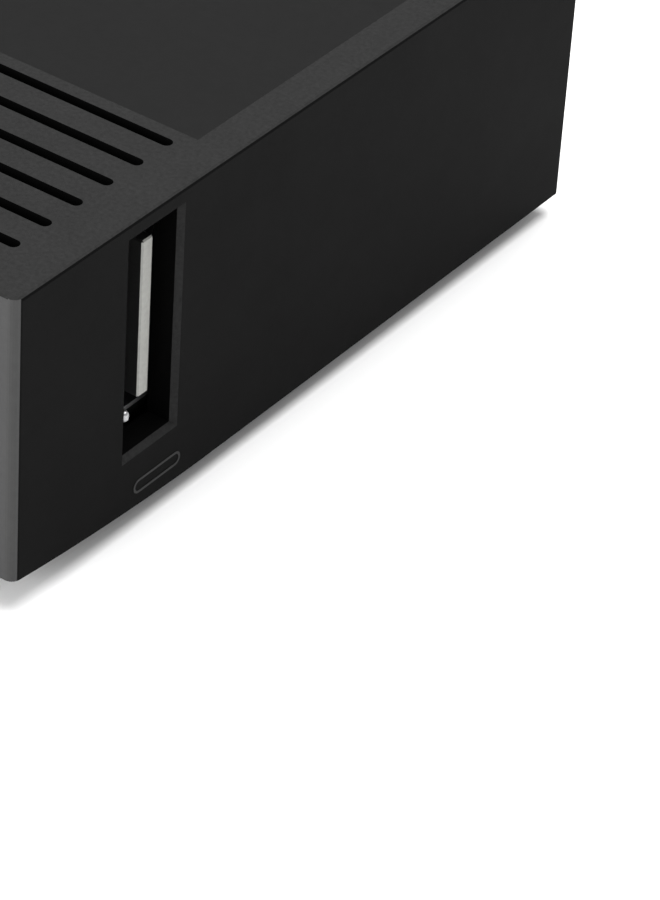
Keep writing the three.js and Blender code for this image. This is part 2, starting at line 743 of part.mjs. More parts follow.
function buildUpperShell() {
  let body = outerPad.subtract(innerPad).intersect(span(-FAR, FAR, -FAR, FAR, pad.seam, FAR));
  bothSides((side, place) => {
    body = body.subtract(place(shoulderNotch()));
    body = body.add(place(stickRing())).subtract(place(post(stick.hole, 0, FAR, stick.x, stick.y, 24)));
    const [width, height] = [menu.width + 2 * GAP, menu.height + 2 * GAP];
    body = body.subtract(place(plate(width, height, menu.height / 2, pad.seam, FAR, menu.x, menu.y)));
  });
  body = cut(body, plus(cross.gap, pad.seam, FAR), post(menu.homeRadius + GAP, pad.seam, FAR, 0, menu.y));
  for (const [, x, y] of facePlaces) {
    body = body.subtract(post(faceKeys.radius + faceKeys.gap, pad.seam, FAR, x, y));
  }
  return body.subtract(chargeHole());
}

function buildLowerShell() {
  const half = span(-FAR, FAR, -FAR, FAR, -FAR, pad.seam - GAP);
  let body = outerPad.subtract(innerPad).intersect(half);
  const inside = outerPad.intersect(half);
  bothSides((side, place) => {
    body = body.subtract(place(shoulderNotch()));
    for (const [x, y] of padScrewSeats) {
      const seat = post(2.4, 1, padBoard.top - padBoard.thick - SEAT, x, y, 12);
      body = body.add(place(seat).intersect(inside));
    }
    const m = motor;
    const cradle = cut(
      span(m.x - m.length / 2 + 1, m.x + m.length / 2 - 1, m.y - m.radius, m.y + m.radius, 0, m.z - 1),
      axleX(m.radius + GAP, 0, FAR, m.y, m.z, 20),
    );
    body = body.add(place(cradle).intersect(inside));
    const { inner, outer, margin, ear, back, floor } = shoulder;
    const { pivotY, pivotZ } = trigger;
    for (const x of [inner - margin - ear, outer + margin]) {
      const lug = span(x, x + ear, back - 1.5, FAR, floor - 1.5, pad.seam - GAP);
      const hole = axleX(trigger.pin + trigger.pinGap, x - 1, x + ear + 1, pivotY, pivotZ, 14);
      body = body.add(place(lug.intersect(inside))).subtract(place(hole));
    }
  });
  return body.subtract(chargeHole());
}

/** One finger lever under a back corner: a curved wedge with a pin at each end. */
function buildTrigger() {
  const [y, z] = [trigger.pivotY, trigger.pivotZ];
  const at = (dy, dz) => new THREE.Vector2(y + dy, z + dz);
  const nose = new THREE.QuadraticBezierCurve(at(8.5, 2.7), at(15, 1), at(15.8, -10.8));
  const belly = new THREE.QuadraticBezierCurve(at(14.6, -12), at(8, -9.5), at(-2.5, -3));
  const outline = [...nose.getPoints(7), ...belly.getPoints(5), at(-2.5, 2.7)].map((p) => [p.x, p.y]);
  const inner = shoulder.inner + trigger.inset;
  const outer = shoulder.outer - trigger.inset;
  const lever = sideProfile(outline, inner, outer);
  const reach = shoulder.margin + shoulder.ear - GAP;
  const pin = axleX(trigger.pin, shoulder.inner - reach, shoulder.outer + reach, y, z, 14);
  return joined(lever, pin);
}

function buildBumper() {
  const front = shoulder.back + shoulder.bumperGap;
  const cap = span(shoulder.inner, shoulder.outer, front, FAR, shoulder.split, FAR);
  return outerPad.intersect(cap);
}

/** A square open-topped housing with a slot for the yoke's pins. */
function buildStickBase() {
  const half = stickBase.size / 2;
  const z0 = padBoard.top + SEAT;
  const z1 = z0 + stickBase.height;
  const { x, y } = stick;
  const hollow = stickBase.cavity / 2;
  const slot = yoke.pin + yoke.pinPlay;
  return cut(
    span(x - half, x + half, y - half, y + half, z0, z1),
    span(x - hollow, x + hollow, y - hollow, y + hollow, z0 + stickBase.floor, z1 + 1),
    span(x - half - 1, x + half + 1, y - slot, y + slot, stick.pivot - slot, z1 + 1),
  );
}

/** The ring that carries the stick sideways, with pins along X. */
function buildYoke() {
  const { x, y, pivot } = stick;
  const half = yoke.size / 2;
  const ring = cut(
    block(yoke.size, yoke.size, yoke.thick, x, y, pivot),
    block(yoke.window, yoke.window, yoke.thick + 1, x, y, pivot),
    axleY(shaft.pin + GAP, y - half - 1, y + half + 1, x, pivot, 12),
  );
  const reach = stickBase.size / 2 - GAP;
  const pins = [
    axleX(yoke.pin, x - reach, x - half + 0.5, y, pivot, 12),
    axleX(yoke.pin, x + half - 0.5, x + reach, y, pivot, 12),
  ];
  return joined(ring, ...pins);
}

function buildStickShaft() {
  const { x, y, pivot } = stick;
  const reach = yoke.size / 2 - GAP;
  const bar = post(shaft.radius, pivot - shaft.below, pivot + shaft.above, x, y);
  return joined(bar, axleY(shaft.pin, y - reach, y + reach, x, pivot, 12));
}

/** Points on an arc about the stick's pivot, from one angle off the vertical to another. */
function domeArc(radius, from, to, steps) {
  const points = [];
  for (let i = 0; i <= steps; i++) {
    const angle = from + ((to - from) * i) / steps;
    points.push([radius * Math.sin(angle), stick.pivot + radius * Math.cos(angle)]);
  }
  return points;
}

/** The thumb cap: a dished mushroom on a neck over a dome that closes the hole. */
function buildStickCap() {
  const { x, y, pivot, neck, capRadius, capTop } = stick;
  const skin = 1.1;
  const outer = stick.hole + stick.domeOver;
  const inner = outer - skin;
  const bore = shaft.radius + shaft.capPlay;
  const rim = THREE.MathUtils.degToRad(54);
  const steps = 4;
  const edge = 0.8;
  const profile = [
    ...domeArc(inner, Math.asin(bore / inner), rim, steps),
    ...domeArc(outer, rim, Math.asin(neck / outer), steps),
    [neck, capTop - 4],
    [capRadius - edge, capTop - 3.4],
    [capRadius, capTop - 2.4],
    [capRadius, capTop - edge],
    [capRadius - edge, capTop],
    [capRadius - 2, capTop],
    [neck, capTop - 1.1],
    [0, capTop - 1.4],
    [0, pivot + shaft.top],
    [bore, pivot + shaft.top],
  ];
  return turned(profile, x, y, 20);
}

/** A place on each of the four arms of a plus at a distance from its middle. */
const fourWays = (x, y, reach) => [
  [x, y - reach],
  [x + reach, y],
  [x, y + reach],
  [x - reach, y],
];

/** A ball at the direction pad's middle. */
const ballAt = (radius, z) => solid(moved(new THREE.SphereGeometry(radius, 16, 10), cross.x, cross.y, z));

function buildCross() {
  const legs = fourWays(cross.x, cross.y, cross.leg);
  const pins = legs.map(([x, y]) => post(cross.legRadius, keyBottom, cross.bottom + 1, x, y, 10));
  const dimple = ballAt(2.2, cross.top + 1.4);
  const socket = ballAt(cross.ball + cross.ballPlay, cross.pivot);
  return cut(joined(plus(0, cross.bottom, cross.top), ...pins), dimple, socket);
}

function buildCrossPivot() {
  const stem = post(cross.post, padBoard.top + 1, cross.pivot, cross.x, cross.y, 12);
  return joined(ballAt(cross.ball, cross.pivot), stem);
}

/** A round key with a domed top and a flange under the skin. */
function roundKey(radius, flange, top, x, y) {
  const ledge = pad.seam + keyLedge.rise;
  const stem = radius - 0.6;
  const profile = [
    [0, keyBottom],
    [stem, keyBottom],
    [stem, ledge],
    [radius + flange, ledge],
    [radius + flange, ledge + keyLedge.thick],
    [radius, ledge + keyLedge.thick],
    [radius, top - 0.9],
    [radius - 0.35, top - 0.35],
    [radius - 1.1, top - 0.08],
    [0, top],
  ];
  return turned(profile, x, y);
}

function buildMenuKey() {
  const { width, height, x, y, flange } = menu;
  const ledge = pad.seam + keyLedge.rise + 0.4;
  return joined(
    plate(width, height, height / 2 - 0.01, keyBottom, menu.top, x, y),
    plate(width + 2 * flange, height + 2 * flange, height / 2, ledge, ledge + keyLedge.thick, x, y),
  );
}

/** A rubber mat with four domes, one under each key. */
function buildMembrane(centreX, centreY, reach) {
  const z0 = padBoard.top + SEAT;
  const size = 2 * (padBoard.back - centreY);
  const top = z0 + mat.thick;
  const profile = [
    [0, top - SEAT],
    [mat.domeFoot, top - SEAT],
    [mat.domeCrown, mat.domeTop],
    [0, mat.domeTop],
  ];
  const domes = fourWays(centreX, centreY, reach).map(([x, y]) => turned(profile, x, y, 12));
  return joined(plate(size, size, mat.corner, z0, top, centreX, centreY, 3), ...domes);
}

/** A mat with a hole round the direction pad's pivot post. */
function pivotClear(body) {
  return body.subtract(post(cross.post + cross.postRoom, 0, FAR, cross.x, cross.y, 14));
}

function buildPadBoard() {
  const [z0, z1] = [padBoard.top - padBoard.thick, padBoard.top];
  return joined(
    span(-59.5, 59.5, -2, padBoard.back, z0, z1).intersect(innerPad),
    span(-30, 30, -18, 0, z0, z1),
    span(-9, 9, padBoard.back - 2, padBoard.back + 3, z0, z1),
  );
}

function buildMotor() {
  const { x, y, z, radius, length } = motor;
  return axleX(radius, x - length / 2, x + length / 2, y, z, 20);
}

/** The half-round weight on the motor's shaft. */
function buildWeight() {
  const { x, y, z } = motor;
  const x0 = x + motor.length / 2 + GAP;
  const disc = axleX(weight.radius, x0, x0 + weight.length, y, z, 24);
  const half = disc.intersect(span(x0, FAR, -FAR, FAR, z - weight.radius - 1, z));
  return joined(half, axleX(weight.hub, x0, x0 + weight.length, y, z, 14));
}

function buildChargeSocket() {
  const w = typeC.width / 2;
  const y0 = charge.back - typeC.depth;
  const body = sleeve([-w, w, y0, charge.back, charge.z0, charge.z0 + typeC.height], typeC.sheet, 3);
  const middle = charge.z0 + typeC.height / 2;
  const t = typeC.tongueThick / 2;
  const half = typeC.tongueWidth / 2;
  return joined(body, span(-half, half, y0 + 0.1, charge.back - 1, middle - t, middle + t));
}

function buildController() {
  addPiece(padGroup, "pad_upper_shell", buildUpperShell(), "padShell");
  addPiece(padGroup, "pad_lower_shell", buildLowerShell(), "padShell");
  addPiece(padGroup, "pad_board", buildPadBoard(), "solderMask");
  const c = cell;
  const pack = plate(c.width, c.depth, 3, c.bottom, c.bottom + c.height, 0, c.y);
  addPiece(padGroup, "pad_battery", pack, "foil");
  addPiece(padGroup, "pad_charge_socket", buildChargeSocket(), "steel");
  bothSides((side, place) => {
    addPiece(padGroup, "stick_base_" + side, place(buildStickBase()), "nylon");
    addPiece(padGroup, "stick_yoke_" + side, place(buildYoke()), "nylon");
    addPiece(padGroup, "stick_shaft_" + side, place(buildStickShaft()), "nylon");
    addPiece(padGroup, "stick_cap_" + side, place(buildStickCap()), "softGrip");
    addPiece(padGroup, "bumper_" + side, place(buildBumper()), "padButton");
    addPiece(padGroup, "trigger_" + side, place(buildTrigger()), "padButton");
    addPiece(padGroup, "rumble_motor_" + side, place(buildMotor()), "steel");
    addPiece(padGroup, "rumble_weight_" + side, place(buildWeight()), "steel");
    const menuName = side === "right" ? "start_button" : "select_button";
    addPiece(padGroup, menuName, place(buildMenuKey()), "padButton");
  });
  addPiece(padGroup, "direction_pad", buildCross(), "padButton");
  addPiece(padGroup, "direction_pivot", buildCrossPivot(), "nylon");
  for (const [name, x, y] of facePlaces) {
    const key = roundKey(faceKeys.radius, faceKeys.flange, faceKeys.top, x, y);
    addPiece(padGroup, "face_button_" + name, key, "padButton");
  }
  const home = roundKey(menu.homeRadius, menu.flange, menu.top + menu.homeRise, 0, menu.y);
  addPiece(padGroup, "home_button", home, "padButton");
  addPiece(padGroup, "key_membrane_right", buildMembrane(faceKeys.x, faceKeys.y, faceKeys.reach), "rubber");
  addPiece(padGroup, "key_membrane_left", pivotClear(buildMembrane(cross.x, cross.y, cross.leg)), "rubber");
}

/** Sets both bodies side by side with the whole centred over the origin. */
function arrange() {
  const total = housing.width + apart + 2 * pad.halfWidth;
  consoleGroup.position.x = total / 2 - sideX;
  padGroup.position.x = -total / 2 + pad.halfWidth;
  assembly.updateMatrixWorld(true);
  const deep = new THREE.Box3().setFromObject(padGroup);
  padGroup.position.y = -(deep.min.y + deep.max.y) / 2;
  padGroup.position.z = -deep.min.z;
}

buildConsole();
buildController();
arrange();

export default assembly;
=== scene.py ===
"""Looks for a compact game console and its wireless controller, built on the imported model."""

import json
import logging
import math
from dataclasses import dataclass, field
from enum import Enum

import bmesh
import bpy
from mathutils import Matrix, Vector

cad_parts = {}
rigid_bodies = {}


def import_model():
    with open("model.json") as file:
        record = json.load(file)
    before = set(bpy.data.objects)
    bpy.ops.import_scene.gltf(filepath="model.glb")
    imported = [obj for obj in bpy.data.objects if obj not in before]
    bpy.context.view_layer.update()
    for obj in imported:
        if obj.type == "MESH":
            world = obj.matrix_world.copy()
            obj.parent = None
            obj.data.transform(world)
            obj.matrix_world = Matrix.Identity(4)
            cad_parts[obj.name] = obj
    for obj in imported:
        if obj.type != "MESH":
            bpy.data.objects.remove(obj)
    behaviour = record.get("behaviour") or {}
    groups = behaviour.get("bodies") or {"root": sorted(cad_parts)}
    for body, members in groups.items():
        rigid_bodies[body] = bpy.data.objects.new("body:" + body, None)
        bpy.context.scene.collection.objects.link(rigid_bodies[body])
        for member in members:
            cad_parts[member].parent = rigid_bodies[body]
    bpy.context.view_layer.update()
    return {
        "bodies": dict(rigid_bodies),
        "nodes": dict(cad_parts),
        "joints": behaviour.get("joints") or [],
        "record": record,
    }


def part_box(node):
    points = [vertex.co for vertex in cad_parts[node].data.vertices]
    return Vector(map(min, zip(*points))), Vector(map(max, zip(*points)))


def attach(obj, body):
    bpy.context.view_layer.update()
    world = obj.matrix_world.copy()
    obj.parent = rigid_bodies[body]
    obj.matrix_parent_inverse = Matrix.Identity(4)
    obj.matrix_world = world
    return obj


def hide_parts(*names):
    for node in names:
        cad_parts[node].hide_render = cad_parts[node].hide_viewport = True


LOG = logging.getLogger("console")
MM = 0.001


# ---------------------------------------------------------------- colour and node helpers
def linear(colour: str) -> tuple[float, float, float, float]:
    """Turns an sRGB hex colour into the linear values that a shader takes.

    Args:
        colour: six hex digits with a leading #.

    Returns:
        Red, green, blue and alpha, linear.
    """
    values = [int(colour[i : i + 2], 16) / 255 for i in (1, 3, 5)]
    bent = [v / 12.92 if v <= 0.04045 else ((v + 0.055) / 1.055) ** 2.4 for v in values]
    return (*bent, 1.0)


def add_node(tree: bpy.types.NodeTree, kind: str, settings: dict | None = None, **links) -> bpy.types.Node:
    """Adds one shader node.

    Args:
        tree: the material's node tree.
        kind: the node's type name.
        settings: attributes of the node, such as operation.
        links: socket name (spaces as _) or i0, i1 for a socket's number, to a value or an output socket.

    Returns:
        The new node.
    """
    node = tree.nodes.new(kind)
    for name, value in (settings or {}).items():
        setattr(node, name, value)
    for name, value in links.items():
        is_number = name[0] == "i" and name[1:].isdigit()
        socket = node.inputs[int(name[1:])] if is_number else node.inputs[name.replace("_", " ")]
        if isinstance(value, bpy.types.NodeSocket):
            tree.links.new(value, socket)
        else:
            socket.default_value = value
    return node


class Finish:
    """A surface finish that builds its material once."""

    name: str

    def dress(self, tree: bpy.types.NodeTree, shader: bpy.types.Node) -> None:
        """Fills the shader's sockets."""
        raise NotImplementedError

    def material(self) -> bpy.types.Material:
        """Returns the finished material, made on first use.

        Returns:
            The material.
        """
        found = bpy.data.materials.get(self.name)
        if found is not None:
            return found
        made = bpy.data.materials.new(self.name)
        made.use_nodes = True
        tree = made.node_tree
        tree.nodes.clear()
        shader = add_node(tree, "ShaderNodeBsdfPrincipled")
        output = add_node(tree, "ShaderNodeOutputMaterial")
        tree.links.new(shader.outputs[0], output.inputs[0])
        self.dress(tree, shader)
        return made


@dataclass(frozen=True)
class MouldedPlastic(Finish):
    """Injection-moulded plastic: a mottled colour, an even grain and slightly uneven gloss."""

    name: str
    colour: str
    shade: str
    roughness: float
    specular: float
    grain_mm: float
    grain_depth_mm: float
    mottle_mm: float = 2.5
    speckle: float = 0.08
    ior: float = 1.5

    def dress(self, tree: bpy.types.NodeTree, shader: bpy.types.Node) -> None:
        """Mixes two near shades by soft noise, and bumps the surface with the mould's grain.

        Args:
            tree: the material's node tree.
            shader: the material's Principled shader.
        """
        place = add_node(tree, "ShaderNodeTexCoord").outputs["Object"]
        mottle = add_node(
            tree,
            "ShaderNodeTexNoise",
            Vector=place,
            Scale=1 / (self.mottle_mm * MM),
            Detail=4.0,
            Roughness=0.6,
        )
        tone = add_node(
            tree,
            "ShaderNodeMix",
            {"data_type": "RGBA"},
            i0=mottle.outputs["Fac"],
            i6=linear(self.colour),
            i7=linear(self.shade),
        )
        gloss = add_node(
            tree,
            "ShaderNodeMapRange",
            Value=mottle.outputs["Fac"],
            To_Min=self.roughness - 0.05,
            To_Max=self.roughness + 0.05,
        )
        tree.links.new(gloss.outputs[0], shader.inputs["Roughness"])
        grain = add_node(
            tree,
            "ShaderNodeTexNoise",
            Vector=place,
            Scale=1 / (self.grain_mm * MM),
            Detail=3.0,
            Roughness=0.65,
        )
        speckle = add_node(
            tree,
            "ShaderNodeMapRange",
            Value=grain.outputs["Fac"],
            From_Min=0.3,
            From_Max=0.7,
            To_Min=1 - self.speckle,
            To_Max=1 + self.speckle,
        )
        spotted = add_node(
            tree,
            "ShaderNodeVectorMath",
            {"operation": "SCALE"},
            i0=tone.outputs[2],
            Scale=speckle.outputs[0],
        )
        tree.links.new(spotted.outputs[0], shader.inputs["Base Color"])
        bump = add_node(
            tree,
            "ShaderNodeBump",
            Strength=1.0,
            Distance=self.grain_depth_mm * MM,
            Height=grain.outputs["Fac"],
        )
        tree.links.new(bump.outputs[0], shader.inputs["Normal"])
        shader.inputs["Specular IOR Level"].default_value = self.specular
        shader.inputs["IOR"].default_value = self.ior


@dataclass(frozen=True)
class DrawnMetal(Finish):
    """Sheet, turned or extruded metal with fine lines left by the tool."""

    name: str
    colour: str
    shade: str
    roughness: float
    line_mm: float
    along: tuple[float, float, float] = (1.0, 1.0, 0.05)

    def dress(self, tree: bpy.types.NodeTree, shader: bpy.types.Node) -> None:
        """Stretches noise along the tool's direction for tone, gloss and bump.

        Args:
            tree: the material's node tree.
            shader: the material's Principled shader.
        """
        place = add_node(tree, "ShaderNodeTexCoord").outputs["Object"]
        stretch = add_node(tree, "ShaderNodeMapping", Vector=place, Scale=self.along)
        lines = add_node(
            tree, "ShaderNodeTexNoise", Vector=stretch.outputs[0], Scale=1 / (self.line_mm * MM), Detail=3.0
        )
        tone = add_node(
            tree,
            "ShaderNodeMix",
            {"data_type": "RGBA"},
            i0=lines.outputs["Fac"],
            i6=linear(self.colour),
            i7=linear(self.shade),
        )
        tree.links.new(tone.outputs[2], shader.inputs["Base Color"])
        gloss = add_node(
            tree,
            "ShaderNodeMapRange",
            Value=lines.outputs["Fac"],
            To_Min=self.roughness - 0.08,
            To_Max=self.roughness + 0.08,
        )
        tree.links.new(gloss.outputs[0], shader.inputs["Roughness"])
        bump = add_node(
            tree, "ShaderNodeBump", Strength=0.4, Distance=0.01 * MM, Height=lines.outputs["Fac"],
        )
        tree.links.new(bump.outputs[0], shader.inputs["Normal"])
        shader.inputs["Metallic"].default_value = 1.0


@dataclass(frozen=True)
class SolderMask(Finish):
    """Black solder mask over copper tracks on glass epoxy."""

    name: str = "glass_epoxy_black_mask"
    mask: str = "#0c0e0d"
    track: str = "#161a18"
    track_mm: float = 2.2

    def dress(self, tree: bpy.types.NodeTree, shader: bpy.types.Node) -> None:
        """Draws lighter tracks as the edges of square cells.

        Args:
            tree: the material's node tree.
            shader: the material's Principled shader.
        """
        place = add_node(tree, "ShaderNodeTexCoord").outputs["Object"]
        cells = add_node(
            tree,
            "ShaderNodeTexVoronoi",
            {"feature": "DISTANCE_TO_EDGE", "distance": "MANHATTAN"},
            Vector=place,
            Scale=1 / (self.track_mm * MM),
        )
        edge = add_node(
            tree, "ShaderNodeMath", {"operation": "LESS_THAN"}, i0=cells.outputs["Distance"], i1=0.09,
        )
        tone = add_node(
            tree,
            "ShaderNodeMix",
            {"data_type": "RGBA"},
            i0=edge.outputs[0],
            i6=linear(self.mask),
            i7=linear(self.track),
        )
        tree.links.new(tone.outputs[2], shader.inputs["Base Color"])
        bump = add_node(tree, "ShaderNodeBump", Strength=0.6, Distance=0.03 * MM, Height=edge.outputs[0])
        tree.links.new(bump.outputs[0], shader.inputs["Normal"])
        shader.inputs["Roughness"].default_value = 0.35


@dataclass(frozen=True)
class LitAcrylic(Finish):
    """Clear acrylic light guide with a frosted end that glows a little."""

    name: str = "acrylic_light_guide_frosted"
    colour: str = "#dfe8ee"
    glow: str = "#9fd0ff"
    strength: float = 0.2

    def dress(self, tree: bpy.types.NodeTree, shader: bpy.types.Node) -> None:
        """Frosts the end with fine noise and lights it evenly.

        Args:
            tree: the material's node tree.
            shader: the material's Principled shader.
        """
        place = add_node(tree, "ShaderNodeTexCoord").outputs["Object"]
        frost = add_node(tree, "ShaderNodeTexNoise", Vector=place, Scale=1 / (0.2 * MM), Detail=2.0)
        gloss = add_node(tree, "ShaderNodeMapRange", Value=frost.outputs["Fac"], To_Min=0.25, To_Max=0.5)
        tree.links.new(gloss.outputs[0], shader.inputs["Roughness"])
        shader.inputs["Base Color"].default_value = linear(self.colour)
        shader.inputs["Emission Color"].default_value = linear(self.glow)
        shader.inputs["Emission Strength"].default_value = self.strength


class Surface(Enum):
    """Every finish used, by the piece it was made for."""

    # ABS from a spark-eroded mould: even fine grain; it looks greyer than the walls, which are painted darker
    # as painted shade, and it is also put on the side socket's flare faces as painted light
    CASE_TOP = MouldedPlastic(
        "abs_spark_grained_black", "#1b1b1b", "#161616", 0.66, 0.14, 0.28, 0.04, 3.2, 0.35,
    )
    # the same ABS from a polished mould face, almost without grain; its much darker tone is painted shade,
    # put on the case's walls and inside by which way each face points
    CASE_SIDE_PAINTED_SHADE = MouldedPlastic("abs_smooth_black_painted_shade", "#070707", "#060606", 0.5, 0.02, 0.8, 0.004, 5.0)
    # a separate inset from a polished mould: smooth, with a slight sheen and no grain
    PANEL = MouldedPlastic("abs_polished_charcoal", "#131313", "#111111", 0.42, 0.06, 0.8, 0.006, 6.0)
    # satin graphite ABS of the bezel and power button, its lighter tone partly painted light; the case's
    # front-facing faces take it by their facing, as painted light
    FRONT = MouldedPlastic("abs_satin_graphite_and_painted_light", "#323232", "#2e2e2e", 0.42, 0.25, 0.5, 0.01, 4.0)
    # the tray is moulded plain, so it is matt and a little coarser than the case
    BASE = MouldedPlastic("abs_moulded_tray_black", "#171717", "#121212", 0.65, 0.3, 0.5, 0.04)
    # shell ABS with a fine even grain: soft broad highlights over the curves
    PAD_SHELL = MouldedPlastic(
        "abs_fine_grain_black", "#161617", "#121213", 0.5, 0.22, 0.35, 0.03, 3.0, 0.2,
    )
    # the same ABS from a stippled mould: coarser bump, so the lower shell looks duller
    PAD_GRIP = MouldedPlastic(
        "abs_stippled_grip_black", "#141415", "#101011", 0.6, 0.2, 0.6, 0.09, 3.0, 0.2,
    )
    # keycaps from a smoother mould: lighter grey and shinier than the shell round them
    PAD_KEY = MouldedPlastic("abs_satin_keycap_grey", "#232325", "#1e1e20", 0.34, 0.35, 0.6, 0.008)
    # glass-filled nylon of sockets and stick housings: dark and plain; on the socket tongue's sides it is
    # painted shade
    NYLON = MouldedPlastic("nylon_moulded_black", "#1d1d1d", "#181818", 0.5, 0.4, 0.4, 0.02)
    # liquid-crystal polymer of a socket tongue, painted pale on its end only, as painted light; the tongue's
    # sides take the black nylon as painted shade
    TONGUE_PAINTED_LIT_END = MouldedPlastic("lcp_grey_painted_lit_end", "#a0a09c", "#969692", 0.5, 0.3, 0.3, 0.01)
    # transfer-moulded chip packages: matt black with a faint texture
    EPOXY = MouldedPlastic("epoxy_moulded_black", "#141416", "#101012", 0.55, 0.4, 0.25, 0.02)
    # pad-printed ink, barely lighter than the wall that carries it
    PRINT = MouldedPlastic("ink_pad_printed_grey", "#2c2c2c", "#282828", 0.6, 0.1, 0.2, 0.005)
    # silicone of feet and key mats: the dullest black here
    RUBBER = MouldedPlastic("silicone_rubber_black", "#191919", "#131313", 0.8, 0.25, 0.3, 0.03)
    # soft elastomer over the stick caps: no clear highlight
    SOFT_TOUCH = MouldedPlastic("tpe_soft_touch_black", "#101011", "#0c0c0d", 0.72, 0.25, 0.25, 0.04)
    # shrink film round the battery cells: tight, slightly glossy blue
    WRAP = MouldedPlastic("pvc_heat_shrink_blue", "#31527f", "#2a4870", 0.35, 0.5, 1.5, 0.03)
    # drawn and nickel-plated sheet: bright, with fine lines from the die
    STEEL = DrawnMetal("steel_nickel_plated_sheet", "#a5a5a6", "#8d8d8f", 0.32, 0.25)
    # extruded and black anodised: dark metal with lines along the fins
    SINK = DrawnMetal("aluminium_extruded_black_anodised", "#2c2d2e", "#222324", 0.45, 0.3)
    # glass epoxy under black solder mask: tracks show as faint raised lines
    BOARD = SolderMask()
    # a frosted acrylic end that spreads the lamp behind it
    LIGHT = LitAcrylic()


NODE_SURFACE = {
    "top_case": Surface.CASE_TOP,
    "inset_panel": Surface.PANEL,
    "front_bezel": Surface.FRONT,
    "power_button": Surface.FRONT,
    "base_tray": Surface.BASE,
    "main_board": Surface.BOARD,
    "pad_board": Surface.BOARD,
    "processor": Surface.EPOXY,
    "power_switch": Surface.EPOXY,
    "heat_sink": Surface.SINK,
    "radio_module": Surface.STEEL,
    "usb_socket_tongue": Surface.TONGUE_PAINTED_LIT_END,
    "light_pipe": Surface.LIGHT,
    "pad_upper_shell": Surface.PAD_SHELL,
    "pad_lower_shell": Surface.PAD_SHELL,
    "pad_battery": Surface.WRAP,
    "pad_charge_socket": Surface.STEEL,
    "direction_pivot": Surface.NYLON,
    "direction_pad": Surface.PAD_KEY,
    "start_button": Surface.PAD_KEY,
    "select_button": Surface.PAD_KEY,
    "home_button": Surface.PAD_KEY,
}
PREFIX_SURFACE = {
    "foot_": Surface.RUBBER,
    "key_membrane": Surface.RUBBER,
    "case_screw": Surface.STEEL,
    "rumble": Surface.STEEL,
    "stick_cap": Surface.SOFT_TOUCH,
    "stick_": Surface.NYLON,
    "face_button": Surface.PAD_KEY,
    "bumper": Surface.PAD_KEY,
    "trigger": Surface.PAD_KEY,
}


def surface_of(node: str) -> Surface:
    """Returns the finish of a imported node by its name.

    Args:
        node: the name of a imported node.

    Returns:
        The finish.
    """
    if node in NODE_SURFACE:
        return NODE_SURFACE[node]
    if node.endswith("_shell"):
        return Surface.STEEL
    if node.endswith("_tongue"):
        return Surface.NYLON
    return next(s for prefix, s in PREFIX_SURFACE.items() if node.startswith(prefix))


def paint(piece: bpy.types.Object, surface: Surface) -> None:
    """Gives a piece one finish in its only material slot."""
    piece.data.materials.clear()
    piece.data.materials.append(surface.value.material())

# ---------------------------------------------------------------- mesh helpers
@dataclass
class Shop:
    """Makes fine pieces and hands them to the frame.

    Attributes:
    """

    frame: dict

    def body_of(self, node: str) -> str:
        """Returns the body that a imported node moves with."""
        bodies = self.frame["record"]["behaviour"]["bodies"]
        return next(body for body, members in bodies.items() if node in members)

    def shape_of(self, node: str) -> bmesh.types.BMesh:
        """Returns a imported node's mesh with its flat faces whole again.

        Args:
            node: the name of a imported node.

        Returns:
            A mesh that the caller changes and frees.
        """
        shape = bmesh.new()
        shape.from_mesh(self.frame["nodes"][node].data)
        bmesh.ops.remove_doubles(shape, verts=shape.verts, dist=1e-7)
        bmesh.ops.dissolve_limit(
            shape, angle_limit=math.radians(0.5), verts=shape.verts, edges=shape.edges,
        )
        return shape

    def stand_in(
        self, piece: bpy.types.Object, node: str, *surfaces: Surface, curved: bool = True
    ) -> bpy.types.Object:
        """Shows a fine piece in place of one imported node, riding on the same body.

        Args:
            piece: the fine mesh, in the row frame.
            node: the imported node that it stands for.
            surfaces: one finish for each of the mesh's material slots.
            curved: whether its faces are shaded as one smooth skin.

        Returns:
            The piece.
        """
        finish_of_face = [face.material_index for face in piece.data.polygons]
        piece.data.materials.clear()
        for surface in surfaces:
            piece.data.materials.append(surface.value.material())
        for face, index in zip(piece.data.polygons, finish_of_face):
            face.material_index = min(index, len(surfaces) - 1)
        if curved:
            smooth(piece)
        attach(piece, self.body_of(node))
        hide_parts(node)
        LOG.info("%s stands in for %s", piece.name, node)
        return piece

    def trim(self, piece: bpy.types.Object, node: str, surface: Surface) -> bpy.types.Object:
        """Adds a small piece that stands for no node and rides along with one.

        Args:
            piece: the object that is worked on.
            node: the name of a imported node.
            surface: its finish.

        Returns:
            The piece.
        """
        paint(piece, surface)
        smooth(piece)
        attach(piece, self.body_of(node))
        LOG.info("%s added beside %s", piece.name, node)
        return piece


def smooth(piece: bpy.types.Object, degrees: float = 32.0) -> None:
    """Shades a mesh smooth apart from edges sharper than an angle."""
    piece.data.shade_smooth()
    piece.data.set_sharp_from_angle(angle=math.radians(degrees))


def from_bmesh(name: str, shape: bmesh.types.BMesh) -> bpy.types.Object:
    """Turns a bmesh into an object of the scene, with normals facing out.

    Args:
        name: the name of the new object.
        shape: the mesh being built.

    Returns:
        The new object.
    """
    bmesh.ops.remove_doubles(shape, verts=shape.verts, dist=1e-7)
    bmesh.ops.recalc_face_normals(shape, faces=shape.faces)
    mesh = bpy.data.meshes.new(name)
    shape.to_mesh(mesh)
    shape.free()
    made = bpy.data.objects.new(name, mesh)
    bpy.context.scene.collection.objects.link(made)
    return made


def apply_modifiers(piece: bpy.types.Object) -> None:
    """Bakes a piece's modifiers into its mesh.

    Args:
        piece: the object that is worked on.
    """
    bpy.context.view_layer.update()
    graph = bpy.context.evaluated_depsgraph_get()
    done = bpy.data.meshes.new_from_object(piece.evaluated_get(graph))
    piece.modifiers.clear()
    piece.data = done


